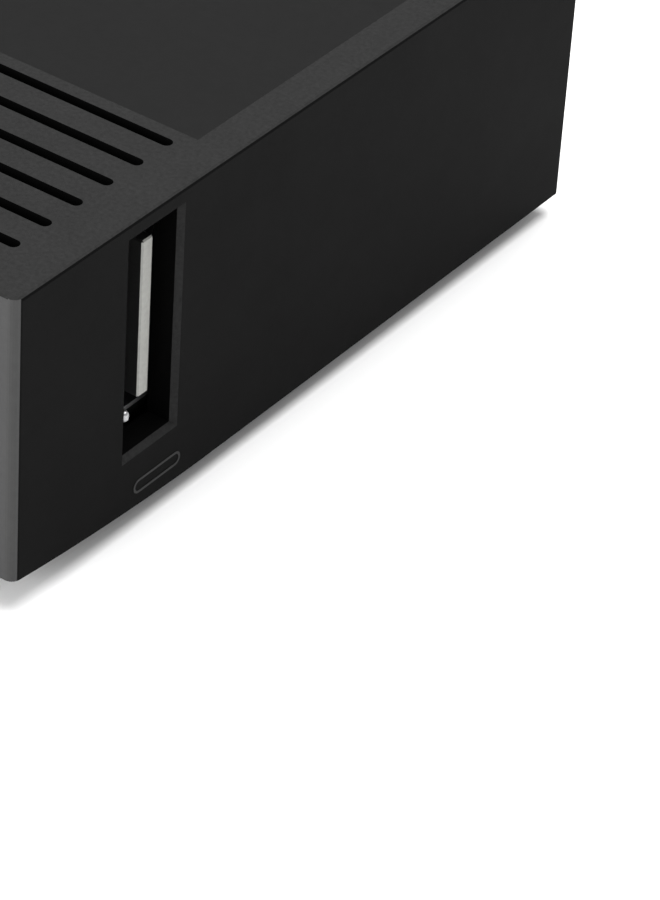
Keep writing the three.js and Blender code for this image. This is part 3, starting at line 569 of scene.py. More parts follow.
def is_closed(piece: bpy.types.Object) -> bool:
    """Tells whether every edge of a mesh joins exactly two faces.

    Args:
        piece: the object that is worked on.

    Returns:
        True when the mesh has no open edge.
    """
    shape = bmesh.new()
    shape.from_mesh(piece.data)
    closed = all(edge.is_manifold for edge in shape.edges)
    shape.free()
    return closed


def combine(piece: bpy.types.Object, tools: list[bpy.types.Object], how: str) -> bpy.types.Object:
    """Cuts a piece by tools, joins them to it or keeps what they share, then deletes the tools.

    Args:
        piece: the piece that is changed.
        tools: closed meshes.
        how: DIFFERENCE, UNION or INTERSECT.

    Returns:
        The piece.
    """
    for solid in (piece, *tools):
        if not is_closed(solid):
            raise ValueError(f"{solid.name} isn't closed")
    for tool in tools:
        step = piece.modifiers.new(tool.name, "BOOLEAN")
        step.operation = how
        step.object = tool
        step.solver = "MANIFOLD"
    apply_modifiers(piece)
    for tool in tools:
        bpy.data.objects.remove(tool)
    return piece


def rounded(
    piece: bpy.types.Object, width: float, segments: int = 2, degrees: float = 40.0
) -> bpy.types.Object:
    """Rounds a piece's sharp edges.

    Args:
        piece: the object that is worked on.
        width: how wide the round is.
        segments: how many flats make the round.
        degrees: edges sharper than this are rounded.

    Returns:
        The piece.
    """
    step = piece.modifiers.new("edge_round", "BEVEL")
    step.width = width
    step.segments = segments
    step.limit_method = "ANGLE"
    step.angle_limit = math.radians(degrees)
    step.harden_normals = False
    apply_modifiers(piece)
    return piece


def lathe(
    name: str, profile: list[tuple[float, float]], centre: Vector, facets: int = 64
) -> bpy.types.Object:
    """Turns a closed profile about an upright axis.

    Args:
        name: the object's name.
        profile: (radius, height) points in metres; a radius of 0 closes at the axis.
        centre: the axis' place; its z is added to every height.
        facets: facets round the axis.

    Returns:
        The turned object.
    """
    shape = bmesh.new()
    rings = []
    for radius, height in profile:
        if radius < 1e-9:
            rings.append([shape.verts.new((centre.x, centre.y, centre.z + height))])
            continue
        turn = [2 * math.pi * k / facets for k in range(facets)]
        rings.append(
            [
                shape.verts.new(
                    (centre.x + radius * math.cos(a), centre.y + radius * math.sin(a), centre.z + height),
                )
                for a in turn
            ]
        )
    skin(shape, rings, facets, closed=profile[0][0] > 1e-9)
    return from_bmesh(name, shape)


def skin(shape: bmesh.types.BMesh, rings: list, count: int, closed: bool) -> None:
    """Joins each ring of vertices to the next; a ring of one vertex closes to a point.

    Args:
        shape: the mesh being built.
        rings: rings of vertices, from one end to the other.
        count: vertices in a full ring.
        closed: whether the last ring joins the first.
    """
    pairs = list(zip(rings, rings[1:]))
    if closed:
        pairs.append((rings[-1], rings[0]))
    for lower, upper in pairs:
        for k in range(count):
            n = (k + 1) % count
            corners = [
                lower[k % len(lower)], lower[n % len(lower)], upper[n % len(upper)], upper[k % len(upper)],
            ]
            distinct = list(dict.fromkeys(corners))
            if len(distinct) > 2:
                shape.faces.new(distinct)


def prism(
    name: str, outline: list[tuple[float, float]], low: float, high: float, axis: str = "Z"
) -> bpy.types.Object:
    """Pushes a closed outline along one axis.

    Args:
        name: the object's name.
        outline: points in the plane across the axis: (x, y) for Z, (y, z) for X.
        low: where it starts along the axis.
        high: where it ends.
        axis: Z or X.

    Returns:
        The new object.
    """
    shape = bmesh.new()
    places = {"Z": lambda p, h: (p[0], p[1], h), "X": lambda p, h: (h, p[0], p[1])}
    rings = [[shape.verts.new(places[axis](p, h)) for p in outline] for h in (low, high)]
    for k in range(len(outline)):
        n = (k + 1) % len(outline)
        shape.faces.new((rings[0][k], rings[0][n], rings[1][n], rings[1][k]))
    shape.faces.new(rings[0])
    shape.faces.new(list(reversed(rings[1])))
    return from_bmesh(name, shape)


def rounded_outline(width: float, depth: float, radius: float, centre: Vector, steps: int = 8) -> list:
    """Returns the points of a rectangle with round corners.

    Args:
        width: its length along the first axis.
        depth: its length along the second axis.
        radius: the radius of its corners.
        centre: the place of the middle.
        steps: points on each corner, less one.

    Returns:
        Points in the plane, going round once.
    """
    points = []
    for quarter, (sx, sy) in enumerate(((1, 1), (-1, 1), (-1, -1), (1, -1))):
        for k in range(steps + 1):
            a = math.pi / 2 * (quarter + k / steps)
            x = centre.x + sx * (width / 2 - radius) + radius * math.cos(a)
            y = centre.y + sy * (depth / 2 - radius) + radius * math.sin(a)
            points.append((x, y))
    return points


def middle(node: str) -> Vector:
    """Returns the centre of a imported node's box."""
    low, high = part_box(node)
    return (low + high) / 2


def size(node: str) -> Vector:
    """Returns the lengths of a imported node's box."""
    low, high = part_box(node)
    return high - low


# ---------------------------------------------------------------- console
@dataclass
class Case:
    """The console's case: grained top, smooth walls painted darker as painted shade, and a front edge painted
    lighter graphite as painted light.
    """

    shop: Shop
    front_round: float = 0.6 * MM
    edge_round: float = 0.22 * MM
    wall: float = 2.2 * MM
    socket_reach: float = 2.0 * MM
    panel_grow: float = 0.24 * MM
    mark_width: float = 4.5 * MM
    mark_height: float = 1.0 * MM
    mark_line: float = 0.16 * MM
    mark_proud: float = 0.03 * MM

    def build(self) -> None:
        """Builds the case, its inset panel and the plain mark under the side socket."""
        self.case()
        self.panel()
        self.mark()

    def case(self) -> None:
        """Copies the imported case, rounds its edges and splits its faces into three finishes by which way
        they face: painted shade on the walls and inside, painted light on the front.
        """
        low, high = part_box("top_case")
        shape = self.shop.shape_of("top_case")
        upright = [e for e in shape.edges if self.is_front_corner(e, low, high)]
        bmesh.ops.bevel(
            shape, geom=upright, offset=self.front_round, segments=6, profile=0.5, affect="EDGES",
        )
        rim = [e for e in shape.edges if self.is_outer_edge(e, low, high)]
        bmesh.ops.bevel(shape, geom=rim, offset=self.edge_round, segments=2, profile=0.5, affect="EDGES")
        for face in shape.faces:
            face.material_index = self.finish_index(face, low, high)
        bmesh.ops.triangulate(shape, faces=shape.faces)
        made = from_bmesh("case_fine", shape)
        surfaces = (Surface.CASE_TOP, Surface.CASE_SIDE_PAINTED_SHADE, Surface.FRONT)
        self.shop.stand_in(made, "top_case", *surfaces, curved=False)

    def is_front_corner(self, edge: bmesh.types.BMEdge, low: Vector, high: Vector) -> bool:
        """Tells whether an edge is one of the two upright front corners.

        Args:
            edge: the edge that is asked about.
            low: the case's lowest corner.
            high: the case's highest corner.

        Returns:
            True for those two edges.
        """
        near = 1e-5
        a, b = (v.co for v in edge.verts)
        if abs(a.x - b.x) > near or abs(a.y - b.y) > near:
            return False
        outside = abs(a.x - low.x) < near or abs(a.x - high.x) < near
        return outside and abs(a.y - low.y) < near

    def is_outer_edge(self, edge: bmesh.types.BMEdge, low: Vector, high: Vector) -> bool:
        """Tells whether an edge runs round the top or up a back corner.

        Args:
            edge: the edge that is asked about.
            low: the case's lowest corner.
            high: the case's highest corner.

        Returns:
            True for those edges.
        """
        near = 1e-5
        if len(edge.link_faces) != 2 or edge.calc_face_angle(0.0) < math.radians(60):
            return False
        a, b = (v.co for v in edge.verts)
        on_top = abs(a.z - high.z) < near and abs(b.z - high.z) < near
        middle_x, middle_y = (a.x + b.x) / 2, (a.y + b.y) / 2
        at_side = min(abs(middle_x - low.x), abs(middle_x - high.x)) < near
        at_end = min(abs(middle_y - low.y), abs(middle_y - high.y)) < near
        return (on_top and (at_side or at_end)) or (at_side and abs(middle_y - high.y) < near)

    def finish_index(self, face: bmesh.types.BMFace, low: Vector, high: Vector) -> int:
        """Returns 0 for the grained top, 1 for a wall or the inside, painted dark as painted shade, and 2 for
        a front-facing face, painted lighter as painted light.

        Args:
            face: the face that is asked about.
            low: the case's lowest corner.
            high: the case's highest corner.

        Returns:
            The number of the face's finish.
        """
        centre = face.calc_center_median()
        face.normal_update()
        if face.normal.z > 0.5 and centre.z > high.z - 1.0 * MM:
            return 0
        # the socket's flare faces take the lighter top finish: painted light
        if self.is_socket_flare(face, high):
            return 0
        # faces that point to the front take the lighter graphite: painted light
        if face.normal.y < -0.35 and centre.y < low.y + self.front_round * 0.75:
            return 2
        # every other face, walls and inside, takes the darkest black: painted shade
        return 1

    def is_socket_flare(self, face: bmesh.types.BMFace, high: Vector) -> bool:
        """Tells whether a face belongs to the flare that leads into the side socket.

        Args:
            face: the face that is asked about.
            high: the case's highest corner.

        Returns:
            True for those faces.
        """
        low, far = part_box("usb_socket_shell")
        centre = face.calc_center_median()
        beside = low.y - self.socket_reach < centre.y < far.y + self.socket_reach
        level = low.z - self.socket_reach < centre.z < far.z + self.socket_reach
        return beside and level and 0.15 < abs(face.normal.x) < 0.95 and centre.x > high.x - self.wall

    def panel(self) -> None:
        """Makes the inset panel, grown to a hairline seam, with a fine round on its edge."""
        low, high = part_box("inset_panel")
        x, y = self.panel_grow, self.panel_grow
        left, right, near, back = low.x - x, high.x + x, low.y - y, high.y + y
        outline = [(left, near), (right, near), (right, back), (left, back)]
        made = rounded(prism("inset_panel_fine", outline, low.z, high.z), 0.06 * MM, 1)
        self.shop.stand_in(made, "inset_panel", Surface.PANEL, curved=False)

    def mark(self) -> None:
        """Prints a plain rounded outline under the side socket."""
        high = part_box("top_case")[1]
        socket = middle("usb_socket_shell")
        drop = size("usb_socket_shell").z / 2 + 1.0 * MM + self.mark_height * 2.75
        centre = Vector((socket.y + 0.8 * MM, socket.z - drop, 0))
        outer = rounded_outline(self.mark_width, self.mark_height, self.mark_height / 2, centre)
        inner_size = (self.mark_width - 2 * self.mark_line, self.mark_height - 2 * self.mark_line)
        inner = rounded_outline(*inner_size, self.mark_height / 2 - self.mark_line, centre)
        ring = prism("socket_mark", outer, high.x - self.mark_proud, high.x + self.mark_proud, "X")
        hole = prism("mark_hole", inner, high.x - 2 * self.mark_proud, high.x + 2 * self.mark_proud, "X")
        self.shop.trim(combine(ring, [hole], "DIFFERENCE"), "top_case", Surface.PRINT)


@dataclass
class ConsoleTrim:
    """Bezel, button, socket details and feet of the console, with their edges rounded."""

    shop: Shop
    tip_radius: float = 0.27 * MM
    tip_length: float = 0.75 * MM
    tip_sunk: float = 0.2 * MM
    tip_aside: float = 2.3 * MM
    tip_below: float = 4.6 * MM

    def build(self) -> None:
        """Rounds what shows at the front and below."""
        self.soften("front_bezel", 0.15 * MM, Surface.FRONT)
        self.soften("base_tray", 0.15 * MM, Surface.BASE)
        self.button()
        self.tongue()
        self.spring_tip()
        for number in range(1, 5):
            self.foot(f"foot_{number}")

    def soften(self, node: str, width: float, surface: Surface) -> None:
        """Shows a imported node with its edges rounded."""
        self.shop.stand_in(rounded(self.copy_of(node), width, 1), node, surface, curved=False)

    def copy_of(self, node: str) -> bpy.types.Object:
        """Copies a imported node, its flat faces whole again."""
        return from_bmesh(f"{node}_fine", self.shop.shape_of(node))

    def button(self) -> None:
        """Turns the power button: a dished disc with a rounded rim."""
        low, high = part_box("power_button")
        centre = (low + high) / 2
        rim = (high.x - low.x) / 2
        radius = rim - 1.0 * MM
        length = high.y - low.y
        profile = [
            (0, length - 0.25 * MM),
            (radius * 0.6, length - 0.18 * MM),
            (radius - 0.5 * MM, length - 0.02 * MM),
            (radius - 0.2 * MM, length),
            (radius, length - 0.2 * MM),
            (radius, 1.0 * MM),
            (rim, 1.0 * MM),
            (rim, 0),
            (0, 0),
        ]
        made = lathe("power_button_fine", profile, Vector((0, 0, 0)), 72)
        made.data.transform(Matrix.Rotation(math.radians(90), 4, "X"))
        made.data.transform(Matrix.Translation(Vector((centre.x, high.y, centre.z))))
        self.shop.stand_in(made, "power_button", Surface.FRONT)

    def tongue(self) -> None:
        """Copies the side socket's tongue: painted black along its sides as painted shade, painted pale on
        its end as painted light.
        """
        made = rounded(self.copy_of("usb_socket_tongue"), 0.1 * MM, 1)
        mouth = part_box("usb_socket_tongue")[1].x - 0.2 * MM
        for face in made.data.polygons:
            # the end that faces out is painted pale as painted light, the sides black as painted shade
            face.material_index = 1 if face.center.x > mouth and face.normal.x > 0.7 else 0
        self.shop.stand_in(made, "usb_socket_tongue", Surface.NYLON, Surface.TONGUE_PAINTED_LIT_END, curved=False)

    def spring_tip(self) -> None:
        """Turns the round tip of the sleeve's spring, which shines at the opening's front edge."""
        sleeve = middle("usb_socket_shell")
        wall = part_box("top_case")[1].x
        arc = [math.pi / 2 * k / 6 for k in range(7)]
        radius, straight = self.tip_radius, self.tip_length / 2 - self.tip_radius
        profile = [(radius * math.sin(a), -straight - radius * math.cos(a)) for a in arc]
        profile += [(radius * math.cos(a), straight + radius * math.sin(a)) for a in arc]
        spot = Vector((wall - self.tip_sunk, sleeve.y - self.tip_aside, sleeve.z - self.tip_below))
        self.shop.trim(lathe("usb_spring_tip", profile, spot, 24), "usb_socket_shell", Surface.STEEL)

    def foot(self, node: str) -> None:
        """Turns one foot with a round lower edge and a shallow ring.

        Args:
            node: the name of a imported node.
        """
        low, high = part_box(node)
        centre = Vector(((low.x + high.x) / 2, (low.y + high.y) / 2, 0))
        radius = (high.x - low.x) / 2
        profile = [
            (0, low.z + 0.2 * MM),
            (radius * 0.55, low.z + 0.2 * MM),
            (radius * 0.62, low.z),
            (radius - 0.5 * MM, low.z),
            (radius - 0.15 * MM, low.z + 0.15 * MM),
            (radius, low.z + 0.5 * MM),
            (radius, high.z),
            (0, high.z),
        ]
        self.shop.stand_in(lathe(f"{node}_fine", profile, centre), node, Surface.RUBBER)

# ---------------------------------------------------------------- controller
Plan = tuple[tuple[float, float], ...]


def quadratic(start: tuple, pull: tuple, end: tuple, steps: int) -> list[tuple[float, float]]:
    """Returns points on a curve that leaves its start and meets its end along lines to one pull point.

    Args:
        start: where the curve starts.
        pull: the point that both ends head for.
        end: where the curve ends.
        steps: how many steps the curve takes.

    Returns:
        Points from start to end.
    """
    shares = [k / steps for k in range(steps + 1)]
    return [
        tuple((1 - t) ** 2 * a + 2 * t * (1 - t) * b + t * t * c for a, b, c in zip(start, pull, end))
        for t in shares
    ]


@dataclass
class PadForm:
    """The controller's outer form: sections along X, each wide at the seam and soft above and below.

    Lengths are millimetres about the middle of the controller's own drawing.
    """

    half_width: float = 75.0
    wall: float = 2.0
    seam: float = 24.0
    crown: float = 13.0
    belly: float = 16.0
    grip_depth: float = 24.0
    grip_crown: float = 8.5
    back: Plan = ((0, 35), (20, 36), (42, 38), (52, 37), (62, 32), (70, 21), (74, 6), (75, -8))
    front: Plan = (
        (0, -26),
        (12, -27.5),
        (24, -32),
        (36, -42),
        (46, -54),
        (54, -60),
        (61, -60),
        (68, -52),
        (73, -34),
        (75, -8),
    )
    stick_y: float = -9.0
    board_top: float = 22.0
    least_half: float = 0.3
    # how the skin thins towards the two tips
    tip_power: float = 5.0
    tip_ease: float = 0.36
    # where the grips begin, from the middle, and the run over which they form
    grip_start_x: float = 20.0
    grip_run_x: float = 28.0
    grip_start_y: float = 8.0
    grip_run_y: float = 38.0
    # how square a section is at its sides, above the seam and below it
    side_power: float = 0.5
    crown_power: float = 0.4
    belly_power: float = 0.5
    halvings: int = 24
    sections: int = 84
    around: int = 72

    def __post_init__(self) -> None:
        """Finds where the drawing's middle lies in the row frame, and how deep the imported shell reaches."""
        right, left = middle("stick_base_right"), middle("stick_base_left")
        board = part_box("pad_board")[1].z
        self.origin = Vector(
            ((right.x + left.x) / 2, right.y - self.stick_y * MM, board - self.board_top * MM),
        )
        self.depth_share = 1.0
        lowest = min(v.z for ring in self.rings(0.0) for v in ring)
        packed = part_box("pad_lower_shell")[0].z
        seam_z = self.place(0, 0, self.seam).z
        self.depth_share = (seam_z - packed) / (seam_z - lowest)

    def place(self, x: float, y: float, z: float) -> Vector:
        """Turns a drawing point in millimetres into the row frame."""
        return self.origin + Vector((x, y, z)) * MM

    def seam_z(self) -> float:
        """Returns the seam's height in the row frame."""
        return self.place(0, 0, self.seam).z

    def spline(self, controls: Plan, x: float) -> float:
        """Returns the height of a smooth plan line at x.

        Args:
            controls: the line's points, x rising.
            x: where it is read; its sign doesn't matter.

        Returns:
            The line's height, in millimetres.
        """
        x = min(abs(x), controls[-1][0])
        last = len(controls) - 1
        index = max(0, min(last - 1, sum(1 for p in controls if p[0] <= x) - 1))
        before, start, end, after = (controls[max(0, min(last, index + k))] for k in (-1, 0, 1, 2))
        low, high = 0.0, 1.0
        for _ in range(self.halvings):
            t = (low + high) / 2
            if self.spline_value(before[0], start[0], end[0], after[0], t) < x:
                low = t
            else:
                high = t
        return self.spline_value(before[1], start[1], end[1], after[1], (low + high) / 2)

    def spline_value(self, a: float, b: float, c: float, d: float, t: float) -> float:
        """Returns a Catmull-Rom curve's value between b and c."""
        into, out = (c - a) / 2, (d - b) / 2
        return (2 * b - 2 * c + into + out) * t**3 + (-3 * b + 3 * c - 2 * into - out) * t**2 + into * t + b

    def heights(self, x: float, y: float, inset: float) -> tuple[float, float]:
        """Returns how far the skin rises above and falls below the seam at a plan point.

        Args:
            x: the place from side to side, in millimetres of the drawing.
            y: the place from front to back, in millimetres of the drawing.
            inset: how far inside the outer skin, in millimetres.

        Returns:
            The rise and the fall, in millimetres.
        """
        fade = max(0.0, 1 - (abs(x) / self.half_width) ** self.tip_power) ** self.tip_ease
        forward = self.ease((-y - self.grip_start_y) / self.grip_run_y)
        grip = forward * self.ease((abs(x) - self.grip_start_x) / self.grip_run_x)
        up = self.crown + (self.grip_crown - self.crown) * grip
        down = self.belly + (self.grip_depth - self.belly) * grip
        return (up - inset) * fade, (down - inset) * fade * self.depth_share

    def ease(self, share: float) -> float:
        """Returns a share eased from 0 to 1."""
        t = max(0.0, min(1.0, share))
        return t * t * (3 - 2 * t)

    def rings(self, inset: float) -> list[list[Vector]]:
        """Returns the loft's sections; the first and the last are single points.

        Args:
            inset: how far inside the outer skin, in millimetres.

        Returns:
            Rings of points in the row frame.
        """
        made = []
        for i in range(self.sections + 1):
            along = math.sin((i / self.sections - 0.5) * math.pi)
            plan_x = along * self.half_width
            x = along * (self.half_width - inset)
            back = self.spline(self.back, plan_x) - inset
            front = self.spline(self.front, plan_x) + inset
            half = max(self.least_half, (back - front) / 2)
            if i in (0, self.sections):
                made.append([self.place(x, (back + front) / 2, self.seam)])
                continue
            ring = []
            for k in range(self.around):
                a = 2 * math.pi * k / self.around
                c, s = math.cos(a), math.sin(a)
                y = (back + front) / 2 + half * math.copysign(abs(c) ** self.side_power, c)
                up, down = self.heights(plan_x, y, inset)
                rise = up * abs(s) ** self.crown_power if s > 0 else -down * abs(s) ** self.belly_power
                ring.append(self.place(x, y, self.seam + rise))
            made.append(ring)
        return made

    def body(self, name: str, inset: float = 0.0) -> bpy.types.Object:
        """Lofts the whole controller as one closed body.

        Args:
            name: the name of the new object.
            inset: how far inside the outer skin, in millimetres.

        Returns:
            The closed body.
        """
        shape = bmesh.new()
        rings = [[shape.verts.new(p) for p in ring] for ring in self.rings(inset)]
        skin(shape, rings, self.around, closed=False)
        return from_bmesh(name, shape)


@dataclass
class Pad:
    """The controller's outside: shells, shoulder keys, sticks, direction pad and keys."""

    shop: Shop
    form: PadForm = field(default_factory=PadForm)
    gap: float = 0.3 * MM
    far: float = 0.15
    notch_margin: float = 0.5 * MM
    notch_back: float = 1.3 * MM
    notch_floor: float = 12.5
    stick_hole: float = 10.6 * MM
    ring_width: float = 2.2 * MM
    ring_rise: float = 0.8 * MM
    cross_gap: float = 0.9 * MM
    flange: float = 0.9 * MM
    key_gap: float = 0.4 * MM
    key_round: float = 1.1 * MM
    key_ledge: float = 7.2
    menu_flange: float = 1.0 * MM
    arm_width: float = 7.6 * MM
    arm_corner: float = 1.2 * MM
    arm_height: float = 7.1 * MM
    lever_inset: float = 4.0 * MM
    dome_radius: float = 12.7 * MM
    dome_wall: float = 1.1 * MM
    dome_reach: float = 54.0
    neck_radius: float = 4.2 * MM
    cap_radius: float = 9.0 * MM
    knurl_count: int = 96
    knurl_depth: float = 0.22 * MM

    def build(self) -> None:
        """Builds every piece that shows."""
        self.upper_shell()
        self.lower_shell()
        for side in ("right", "left"):
            self.bumper(side)
            self.trigger(side)
            self.stick(side)
        self.cross()
        for name in ("south", "east", "north", "west"):
            self.round_key(f"face_button_{name}", self.flange)
        self.round_key("home_button", self.menu_flange)
        for name in ("start_button", "select_button"):
            self.oval_key(name)

    def slab(self, name: str, low: Vector, high: Vector) -> bpy.types.Object:
        """Makes a block between two corners."""
        outline = [(low.x, low.y), (high.x, low.y), (high.x, high.y), (low.x, high.y)]
        return prism(name, outline, low.z, high.z)

    def notch(self, side: str) -> bpy.types.Object:
        """Makes the cutter for the back corner where the bumper and the trigger sit.

        Args:
            side: right or left.

        Returns:
            The cutter.
        """
        low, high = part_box(f"bumper_{side}")
        floor = self.form.place(0, 0, self.notch_floor).z
        start = Vector((low.x - self.notch_margin, low.y - self.notch_back, floor))
        return self.slab(
            f"notch_{side}", start, Vector((high.x + self.notch_margin, self.far, self.far)),
        )

    def charge_mouth(self) -> bpy.types.Object:
        """Makes the cutter for the charge socket's mouth in the back edge.

        Returns:
            The cutter.
        """
        low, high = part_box("pad_charge_socket")
        room = Vector((self.gap, 0, self.gap))
        return self.slab("charge_mouth", low - room, Vector((high.x, self.far, high.z)) + room)

    def half_shell(self, name: str, low_z: float, high_z: float) -> bpy.types.Object:
        """Makes the hollow skin between two heights, notched and opened for the charge socket.

        Args:
            name: the name of the new object.
            low_z: where the piece starts.
            high_z: where it ends.

        Returns:
            The shell half, before its holes are cut.
        """
        shell = combine(self.form.body(name), [self.form.body("inner", self.form.wall)], "DIFFERENCE")
        keep = self.slab(
            "keep", Vector((-2 * self.far, -self.far, low_z)), Vector((self.far, self.far, high_z)),
        )
        combine(shell, [keep], "INTERSECT")
        return combine(
            shell, [self.notch("right"), self.notch("left"), self.charge_mouth()], "DIFFERENCE",
        )

    def upper_shell(self) -> None:
        """Makes the upper shell with a raised ring round each stick and a hole for each key."""
        seam = self.form.seam_z()
        shell = self.half_shell("upper_shell_fine", seam, self.far)
        combine(shell, [self.stick_ring(side) for side in ("right", "left")], "UNION")
        holes = [self.bore(f"stick_base_{side}", self.stick_hole) for side in ("right", "left")]
        for name in ("south", "east", "north", "west"):
            node = f"face_button_{name}"
            holes.append(self.bore(node, size(node).x / 2 - self.flange + self.key_gap))
        holes.append(self.bore("home_button", size("home_button").x / 2 - self.menu_flange + self.gap))
        holes += [self.oval_hole(node) for node in ("start_button", "select_button")]
        holes.append(self.plus("cross_hole", self.cross_gap, seam, self.far))
        combine(shell, holes, "DIFFERENCE")
        self.shop.stand_in(shell, "pad_upper_shell", Surface.PAD_SHELL)

    def lower_shell(self) -> None:
        """Makes the lower shell, with stippled grips."""
        seam = self.form.seam_z() - self.gap
        shell = self.half_shell("lower_shell_fine", -self.far, seam)
        self.shop.stand_in(shell, "pad_lower_shell", Surface.PAD_GRIP)

    def bore(self, node: str, radius: float) -> bpy.types.Object:
        """Makes a round upright cutter over a node.

        Args:
            node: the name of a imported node.
            radius: the radius in metres.

        Returns:
            The cutter.
        """
        centre = middle(node)
        seam = self.form.seam_z()
        profile = [(0, seam), (radius, seam), (radius, self.far), (0, self.far)]
        return lathe(f"bore_{node}", profile, Vector((centre.x, centre.y, 0)), 72)

    def oval_hole(self, node: str) -> bpy.types.Object:
        """Makes the cutter for a menu key.

        Args:
            node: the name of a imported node.

        Returns:
            The cutter.
        """
        reach = size(node) - Vector((2, 2, 0)) * MM + Vector((2, 2, 0)) * self.gap
        outline = rounded_outline(reach.x, reach.y, reach.y / 2 - 0.01 * MM, middle(node))
        return prism(f"oval_{node}", outline, self.form.seam_z(), self.far)

    def stick_ring(self, side: str) -> bpy.types.Object:
        """Turns the raised ring round a stick's hole.

        Args:
            side: right or left.

        Returns:
            The ring, to be joined to the shell.
        """
        centre = middle(f"stick_base_{side}")
        skin_z = self.form.place(0, 0, self.form.seam + self.form.crown).z
        inner, outer = self.stick_hole - 0.2 * MM, self.stick_hole + self.ring_width
        top = skin_z + self.ring_rise
        profile = [(inner, skin_z - 2 * MM), (outer, skin_z - 2 * MM), (outer + 0.3 * MM, skin_z)]
        profile += [
            (outer - self.ring_rise * (1 - math.cos(a)), skin_z + self.ring_rise * math.sin(a))
            for a in (math.pi * k / 16 for k in range(1, 9))
        ]
        profile.append((inner, top))
        return lathe(f"ring_{side}", profile, Vector((centre.x, centre.y, 0)), 96)

    def plus(self, name: str, grow: float, low_z: float, high_z: float) -> bpy.types.Object:
        """Makes a plus-shaped bar over the direction pad, grown by a margin.

        Args:
            name: the name of the new object.
            grow: the margin added all round.
            low_z: where the piece starts.
            high_z: where it ends.

        Returns:
            The bar.
        """
        centre = middle("direction_pad")
        long = size("direction_pad").x + 2 * grow
        arm = self.arm_width + 2 * grow
        bars = [
            prism(f"{name}_{k}", rounded_outline(w, d, self.arm_corner, centre), low_z, high_z)
            for k, (w, d) in enumerate(((long, arm), (arm, long)))
        ]
        return combine(bars[0], bars[1:], "UNION")

    def cross(self) -> None:
        """Makes the direction pad with rounded arms, a dished middle and a notch on each arm."""
        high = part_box("direction_pad")[1]
        centre = middle("direction_pad")
        bars = self.plus("direction_pad_fine", 0.0, high.z - self.arm_height, high.z)
        body = rounded(bars, 0.7 * MM, 3)
        dish = lathe(
            "dish",
            [(0, -0.8 * MM), (1.5 * MM, -0.65 * MM), (3.2 * MM, 0), (3.6 * MM, 0.5 * MM), (0, 0.5 * MM)],
            Vector((centre.x, centre.y, high.z)),
        )
        marks = [self.arrow(centre, high.z, quarter) for quarter in range(4)]
        combine(body, [dish, *marks], "DIFFERENCE")
        self.shop.stand_in(body, "direction_pad", Surface.PAD_KEY)

    def arrow(self, centre: Vector, top: float, quarter: int) -> bpy.types.Object:
        """Makes the cutter for the shallow triangle on one arm.

        Args:
            centre: the place of the middle.
            top: the height of the upper face.
            quarter: which arm, in quarter turns.

        Returns:
            The cutter.
        """
        tip, root, half = 9.2 * MM, 7.0 * MM, 1.3 * MM
        turn = Matrix.Rotation(math.pi / 2 * quarter, 2)
        corners = [turn @ Vector(p) for p in ((tip, 0), (root, half), (root, -half))]
        outline = [(centre.x + p.x, centre.y + p.y) for p in corners]
        return prism(f"arrow_{quarter}", outline, top - 0.3 * MM, top + 1 * MM)

    def round_key(self, node: str, flange: float) -> None:
        """Turns a round key with a soft shoulder and a slightly hollow crown.

        Args:
            node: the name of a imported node.
            flange: how far the hidden foot reaches past the key.
        """
        low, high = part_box(node)
        centre = middle(node)
        radius = size(node).x / 2 - flange
        top, ledge = high.z, self.form.place(0, 0, self.form.seam + self.key_ledge).z
        shoulder = [
            (radius - self.key_round * (1 - math.sin(a)), top - self.key_round * (1 - math.cos(a)))
            for a in (math.pi / 2 * (1 - k / 8) for k in range(9))
        ]
        profile = [
            (0, low.z),
            (radius - 0.6 * MM, low.z),
            (radius - 0.6 * MM, ledge),
            (radius + flange, ledge),
            (radius + flange, ledge + 1 * MM),
            (radius, ledge + 1 * MM),
            *shoulder,
            (radius * 0.5, top - 0.1 * MM),
            (0, top - 0.14 * MM),
        ]
        made = lathe(f"{node}_fine", profile, Vector((centre.x, centre.y, 0)), 72)
        self.shop.stand_in(made, node, Surface.PAD_KEY)

    def oval_key(self, node: str) -> None:
        """Makes a small oval key with rounded edges.

        Args:
            node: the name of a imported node.
        """
        low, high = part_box(node)
        reach = size(node) - Vector((2, 2, 0)) * MM
        outline = rounded_outline(reach.x, reach.y, reach.y / 2 - 0.01 * MM, middle(node))
        body = rounded(prism(f"{node}_fine", outline, low.z, high.z), 0.5 * MM, 3)
        self.shop.stand_in(body, node, Surface.PAD_KEY)

    def bumper(self, side: str) -> None:
        """Cuts a bumper from the controller's own form and rounds its edges.

        Args:
            side: right or left.
        """
        low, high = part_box(f"bumper_{side}")
        block = self.slab("block", low, Vector((high.x, self.far, self.far)))
        body = combine(self.form.body(f"bumper_{side}_fine"), [block], "INTERSECT")
        self.shop.stand_in(rounded(body, 0.35 * MM, 2, 50), f"bumper_{side}", Surface.PAD_KEY)

    def trigger(self, side: str) -> None:
        """Makes a trigger: a curved lever, wide and round at the finger.

        Args:
            side: right or left.
        """
        low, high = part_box(f"trigger_{side}")
        back, top = high.y, high.z
        at = [(back - 7.3 * MM, top), (back - 0.8 * MM, top - 1.7 * MM), (back, top - 13.5 * MM)]
        under = [
            (back - 1.2 * MM, top - 14.7 * MM), (back - 7.8 * MM, top - 12.2 * MM), (low.y, top - 5.7 * MM),
        ]
        outline = quadratic(*at, 20) + quadratic(*under, 16) + [(low.y, top)]
        start, end = low.x + self.lever_inset, high.x - self.lever_inset
        body = prism(f"trigger_{side}_fine", outline, start, end, "X")
        self.shop.stand_in(rounded(body, 0.9 * MM, 3, 50), f"trigger_{side}", Surface.PAD_KEY)

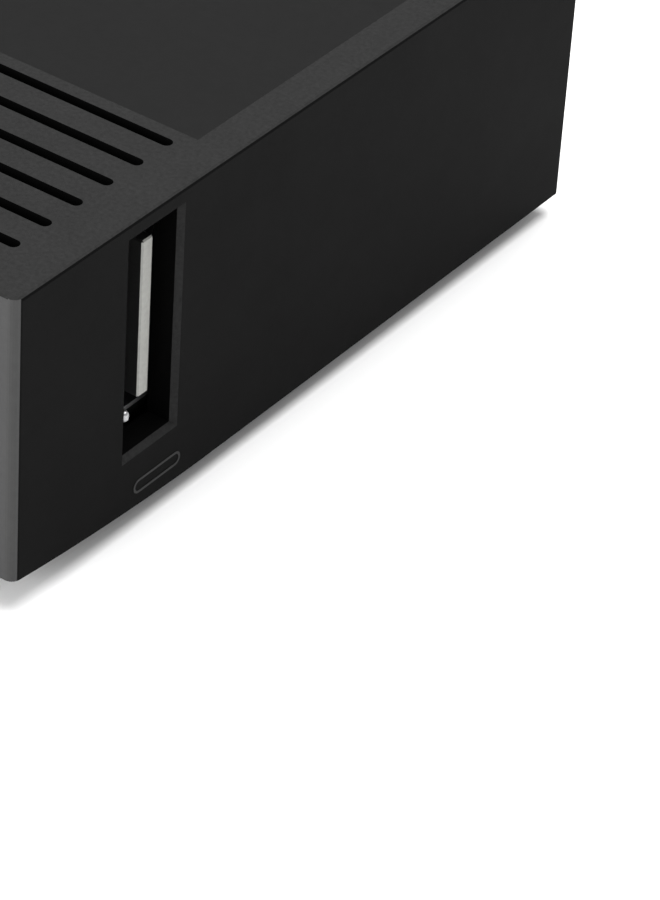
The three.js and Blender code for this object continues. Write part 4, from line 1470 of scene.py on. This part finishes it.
    def stick(self, side: str) -> None:
        """Turns a thumb stick's cap: a dished top with a knurled rim, over a dome that closes its hole.

        Args:
            side: right or left.
        """
        node = f"stick_cap_{side}"
        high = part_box(node)[1]
        centre = middle(node)
        pivot = middle(f"stick_yoke_{side}").z
        dome, hollow = self.dome_radius, self.dome_radius - self.dome_wall
        rim = math.radians(self.dome_reach)
        neck, cap, top = self.neck_radius, self.cap_radius, high.z
        arc = [rim + (math.asin(neck / dome) - rim) * k / 14 for k in range(15)]
        under = [math.asin(2.2 * MM / hollow) + (rim - 0.2) * k / 12 for k in range(13)]
        profile = [(hollow * math.sin(a), pivot + hollow * math.cos(a)) for a in under]
        profile += [(dome * math.sin(a), pivot + dome * math.cos(a)) for a in arc]
        profile += [
            (neck, top - 4.6 * MM),
            (neck + 0.6 * MM, top - 4.0 * MM),
            (cap - 1.2 * MM, top - 3.5 * MM),
            (cap - 0.4 * MM, top - 3.1 * MM),
            (cap, top - 2.4 * MM),
            (cap, top - 0.9 * MM),
            (cap - 0.3 * MM, top - 0.3 * MM),
            (cap - 0.9 * MM, top),
            (cap - 1.7 * MM, top - 0.1 * MM),
            (cap - 2.4 * MM, top - 0.7 * MM),
            (3.5 * MM, top - 1.15 * MM),
            (0, top - 1.3 * MM),
            (0, pivot + 12.2 * MM),
            (2.2 * MM, pivot + 12.2 * MM),
        ]
        made = lathe(f"{node}_fine", profile, Vector((centre.x, centre.y, 0)), self.knurl_count)
        self.knurl(made, centre, top)
        self.shop.stand_in(made, node, Surface.SOFT_TOUCH)

    def knurl(self, cap: bpy.types.Object, centre: Vector, top: float) -> None:
        """Pulls every second facet of a cap's rim inwards.

        Args:
            cap: the turned cap, with knurl_count facets.
            centre: the place of its axis.
            top: the height of its upper edge.
        """
        for vertex in cap.data.vertices:
            spoke = Vector((vertex.co.x - centre.x, vertex.co.y - centre.y))
            if spoke.length > self.cap_radius - 0.5 * MM and vertex.co.z > top - 2.6 * MM:
                tooth = round(math.atan2(spoke.y, spoke.x) / (2 * math.pi) * self.knurl_count) % 2
                vertex.co.x -= spoke.x / spoke.length * self.knurl_depth * tooth
                vertex.co.y -= spoke.y / spoke.length * self.knurl_depth * tooth


# ---------------------------------------------------------------- studio
@dataclass
class Studio:
    """Camera, lights and floor round the model."""

    azimuth: float = 33.78
    elevation: float = 36.31
    roll: float = 3.84
    lens_mm: float = 173.9
    # the aim and the distance are shares of the case's depth, front to back
    distance_share: float = 4.1862
    right_share: float = 0.30218
    down_share: float = 0.14166
    # metres
    clip_near: float = 0.01
    clip_far: float = 100.0
    aim_height: float = 0.01
    floor_radius: float = 60.0
    floor_sides: int = 96
    floor_colour: str = "#f6f6f6"
    floor_roughness: float = 0.9
    sky_colour: str = "#f4f4f4"
    sky_strength: float = 0.8
    # each light's name, place and side in metres, and power in watts
    lights: tuple[tuple[str, tuple[float, float, float], float, float], ...] = (
        ("overhead_softbox", (0.0, 0.3, 2.2), 2.4, 90.0),
        ("front_softbox", (-0.9, -2.0, 0.9), 1.2, 45.0),
    )

    def camera(self) -> bpy.types.Object:
        """Aims the camera at the case's front right top corner and returns it.

        Returns:
            The camera.
        """
        low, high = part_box("top_case")
        corner = Vector((high.x, low.y, high.z))
        depth = high.y - low.y
        a, e, r = (math.radians(v) for v in (self.azimuth, self.elevation, self.roll))
        back = Vector((math.sin(a) * math.cos(e), -math.cos(a) * math.cos(e), math.sin(e)))
        right = (-back).cross(Vector((0, 0, 1))).normalized()
        up = right.cross(-back)
        turned_right = math.cos(r) * right + math.sin(r) * up
        turned_up = -math.sin(r) * right + math.cos(r) * up
        spot = corner + turned_right * (self.right_share * depth) - turned_up * (self.down_share * depth)
        data = bpy.data.cameras.new("camera")
        data.lens = self.lens_mm
        data.clip_start = self.clip_near
        data.clip_end = self.clip_far
        made = bpy.data.objects.new("camera", data)
        bpy.context.scene.collection.objects.link(made)
        turn = Matrix((turned_right, turned_up, back)).transposed().to_4x4()
        made.matrix_world = Matrix.Translation(spot + back * (self.distance_share * depth)) @ turn
        bpy.context.scene.camera = made
        return made

    def softbox(self, name: str, spot: tuple, size: float, power: float) -> None:
        """Hangs one square light that faces the model.

        Args:
            name: the light's name.
            spot: its place in metres.
            size: its side in metres.
            power: its power in watts.
        """
        data = bpy.data.lights.new(name, "AREA")
        data.size = size
        data.energy = power
        made = bpy.data.objects.new(name, data)
        bpy.context.scene.collection.objects.link(made)
        made.location = spot
        made.rotation_mode = "QUATERNION"
        away = Vector(spot) - Vector((0, 0, self.aim_height))
        made.rotation_quaternion = away.to_track_quat("Z", "Y")

    def floor(self) -> None:
        """Lays a plain pale floor under the model."""
        bpy.ops.mesh.primitive_circle_add(
            vertices=self.floor_sides, radius=self.floor_radius, fill_type="NGON"
        )
        made = bpy.context.object
        made.name = "floor"
        surface = bpy.data.materials.new("floor_paper_white")
        surface.use_nodes = True
        shader = surface.node_tree.nodes["Principled BSDF"]
        shader.inputs["Base Color"].default_value = linear(self.floor_colour)
        shader.inputs["Roughness"].default_value = self.floor_roughness
        shader.inputs["Specular IOR Level"].default_value = 0.0
        made.data.materials.append(surface)

    def build(self) -> None:
        """Builds the whole studio."""
        self.camera()
        self.floor()
        for name, spot, side, power in self.lights:
            self.softbox(name, spot, side, power)
        world = bpy.data.worlds.new("studio")
        world.use_nodes = True
        sky = world.node_tree.nodes["Background"]
        sky.inputs["Color"].default_value = linear(self.sky_colour)
        sky.inputs["Strength"].default_value = self.sky_strength
        bpy.context.scene.world = world
        bpy.context.scene.view_settings.view_transform = "Standard"


def main() -> None:
    """Builds the studio and dresses every piece."""
    logging.basicConfig(level=logging.INFO, format="%(message)s")
    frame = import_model()
    Studio().build()
    for name, piece in frame["nodes"].items():
        paint(piece, surface_of(name))
    shop = Shop(frame)
    Case(shop).build()
    ConsoleTrim(shop).build()
    Pad(shop).build()


if __name__ == "__main__":
    main()
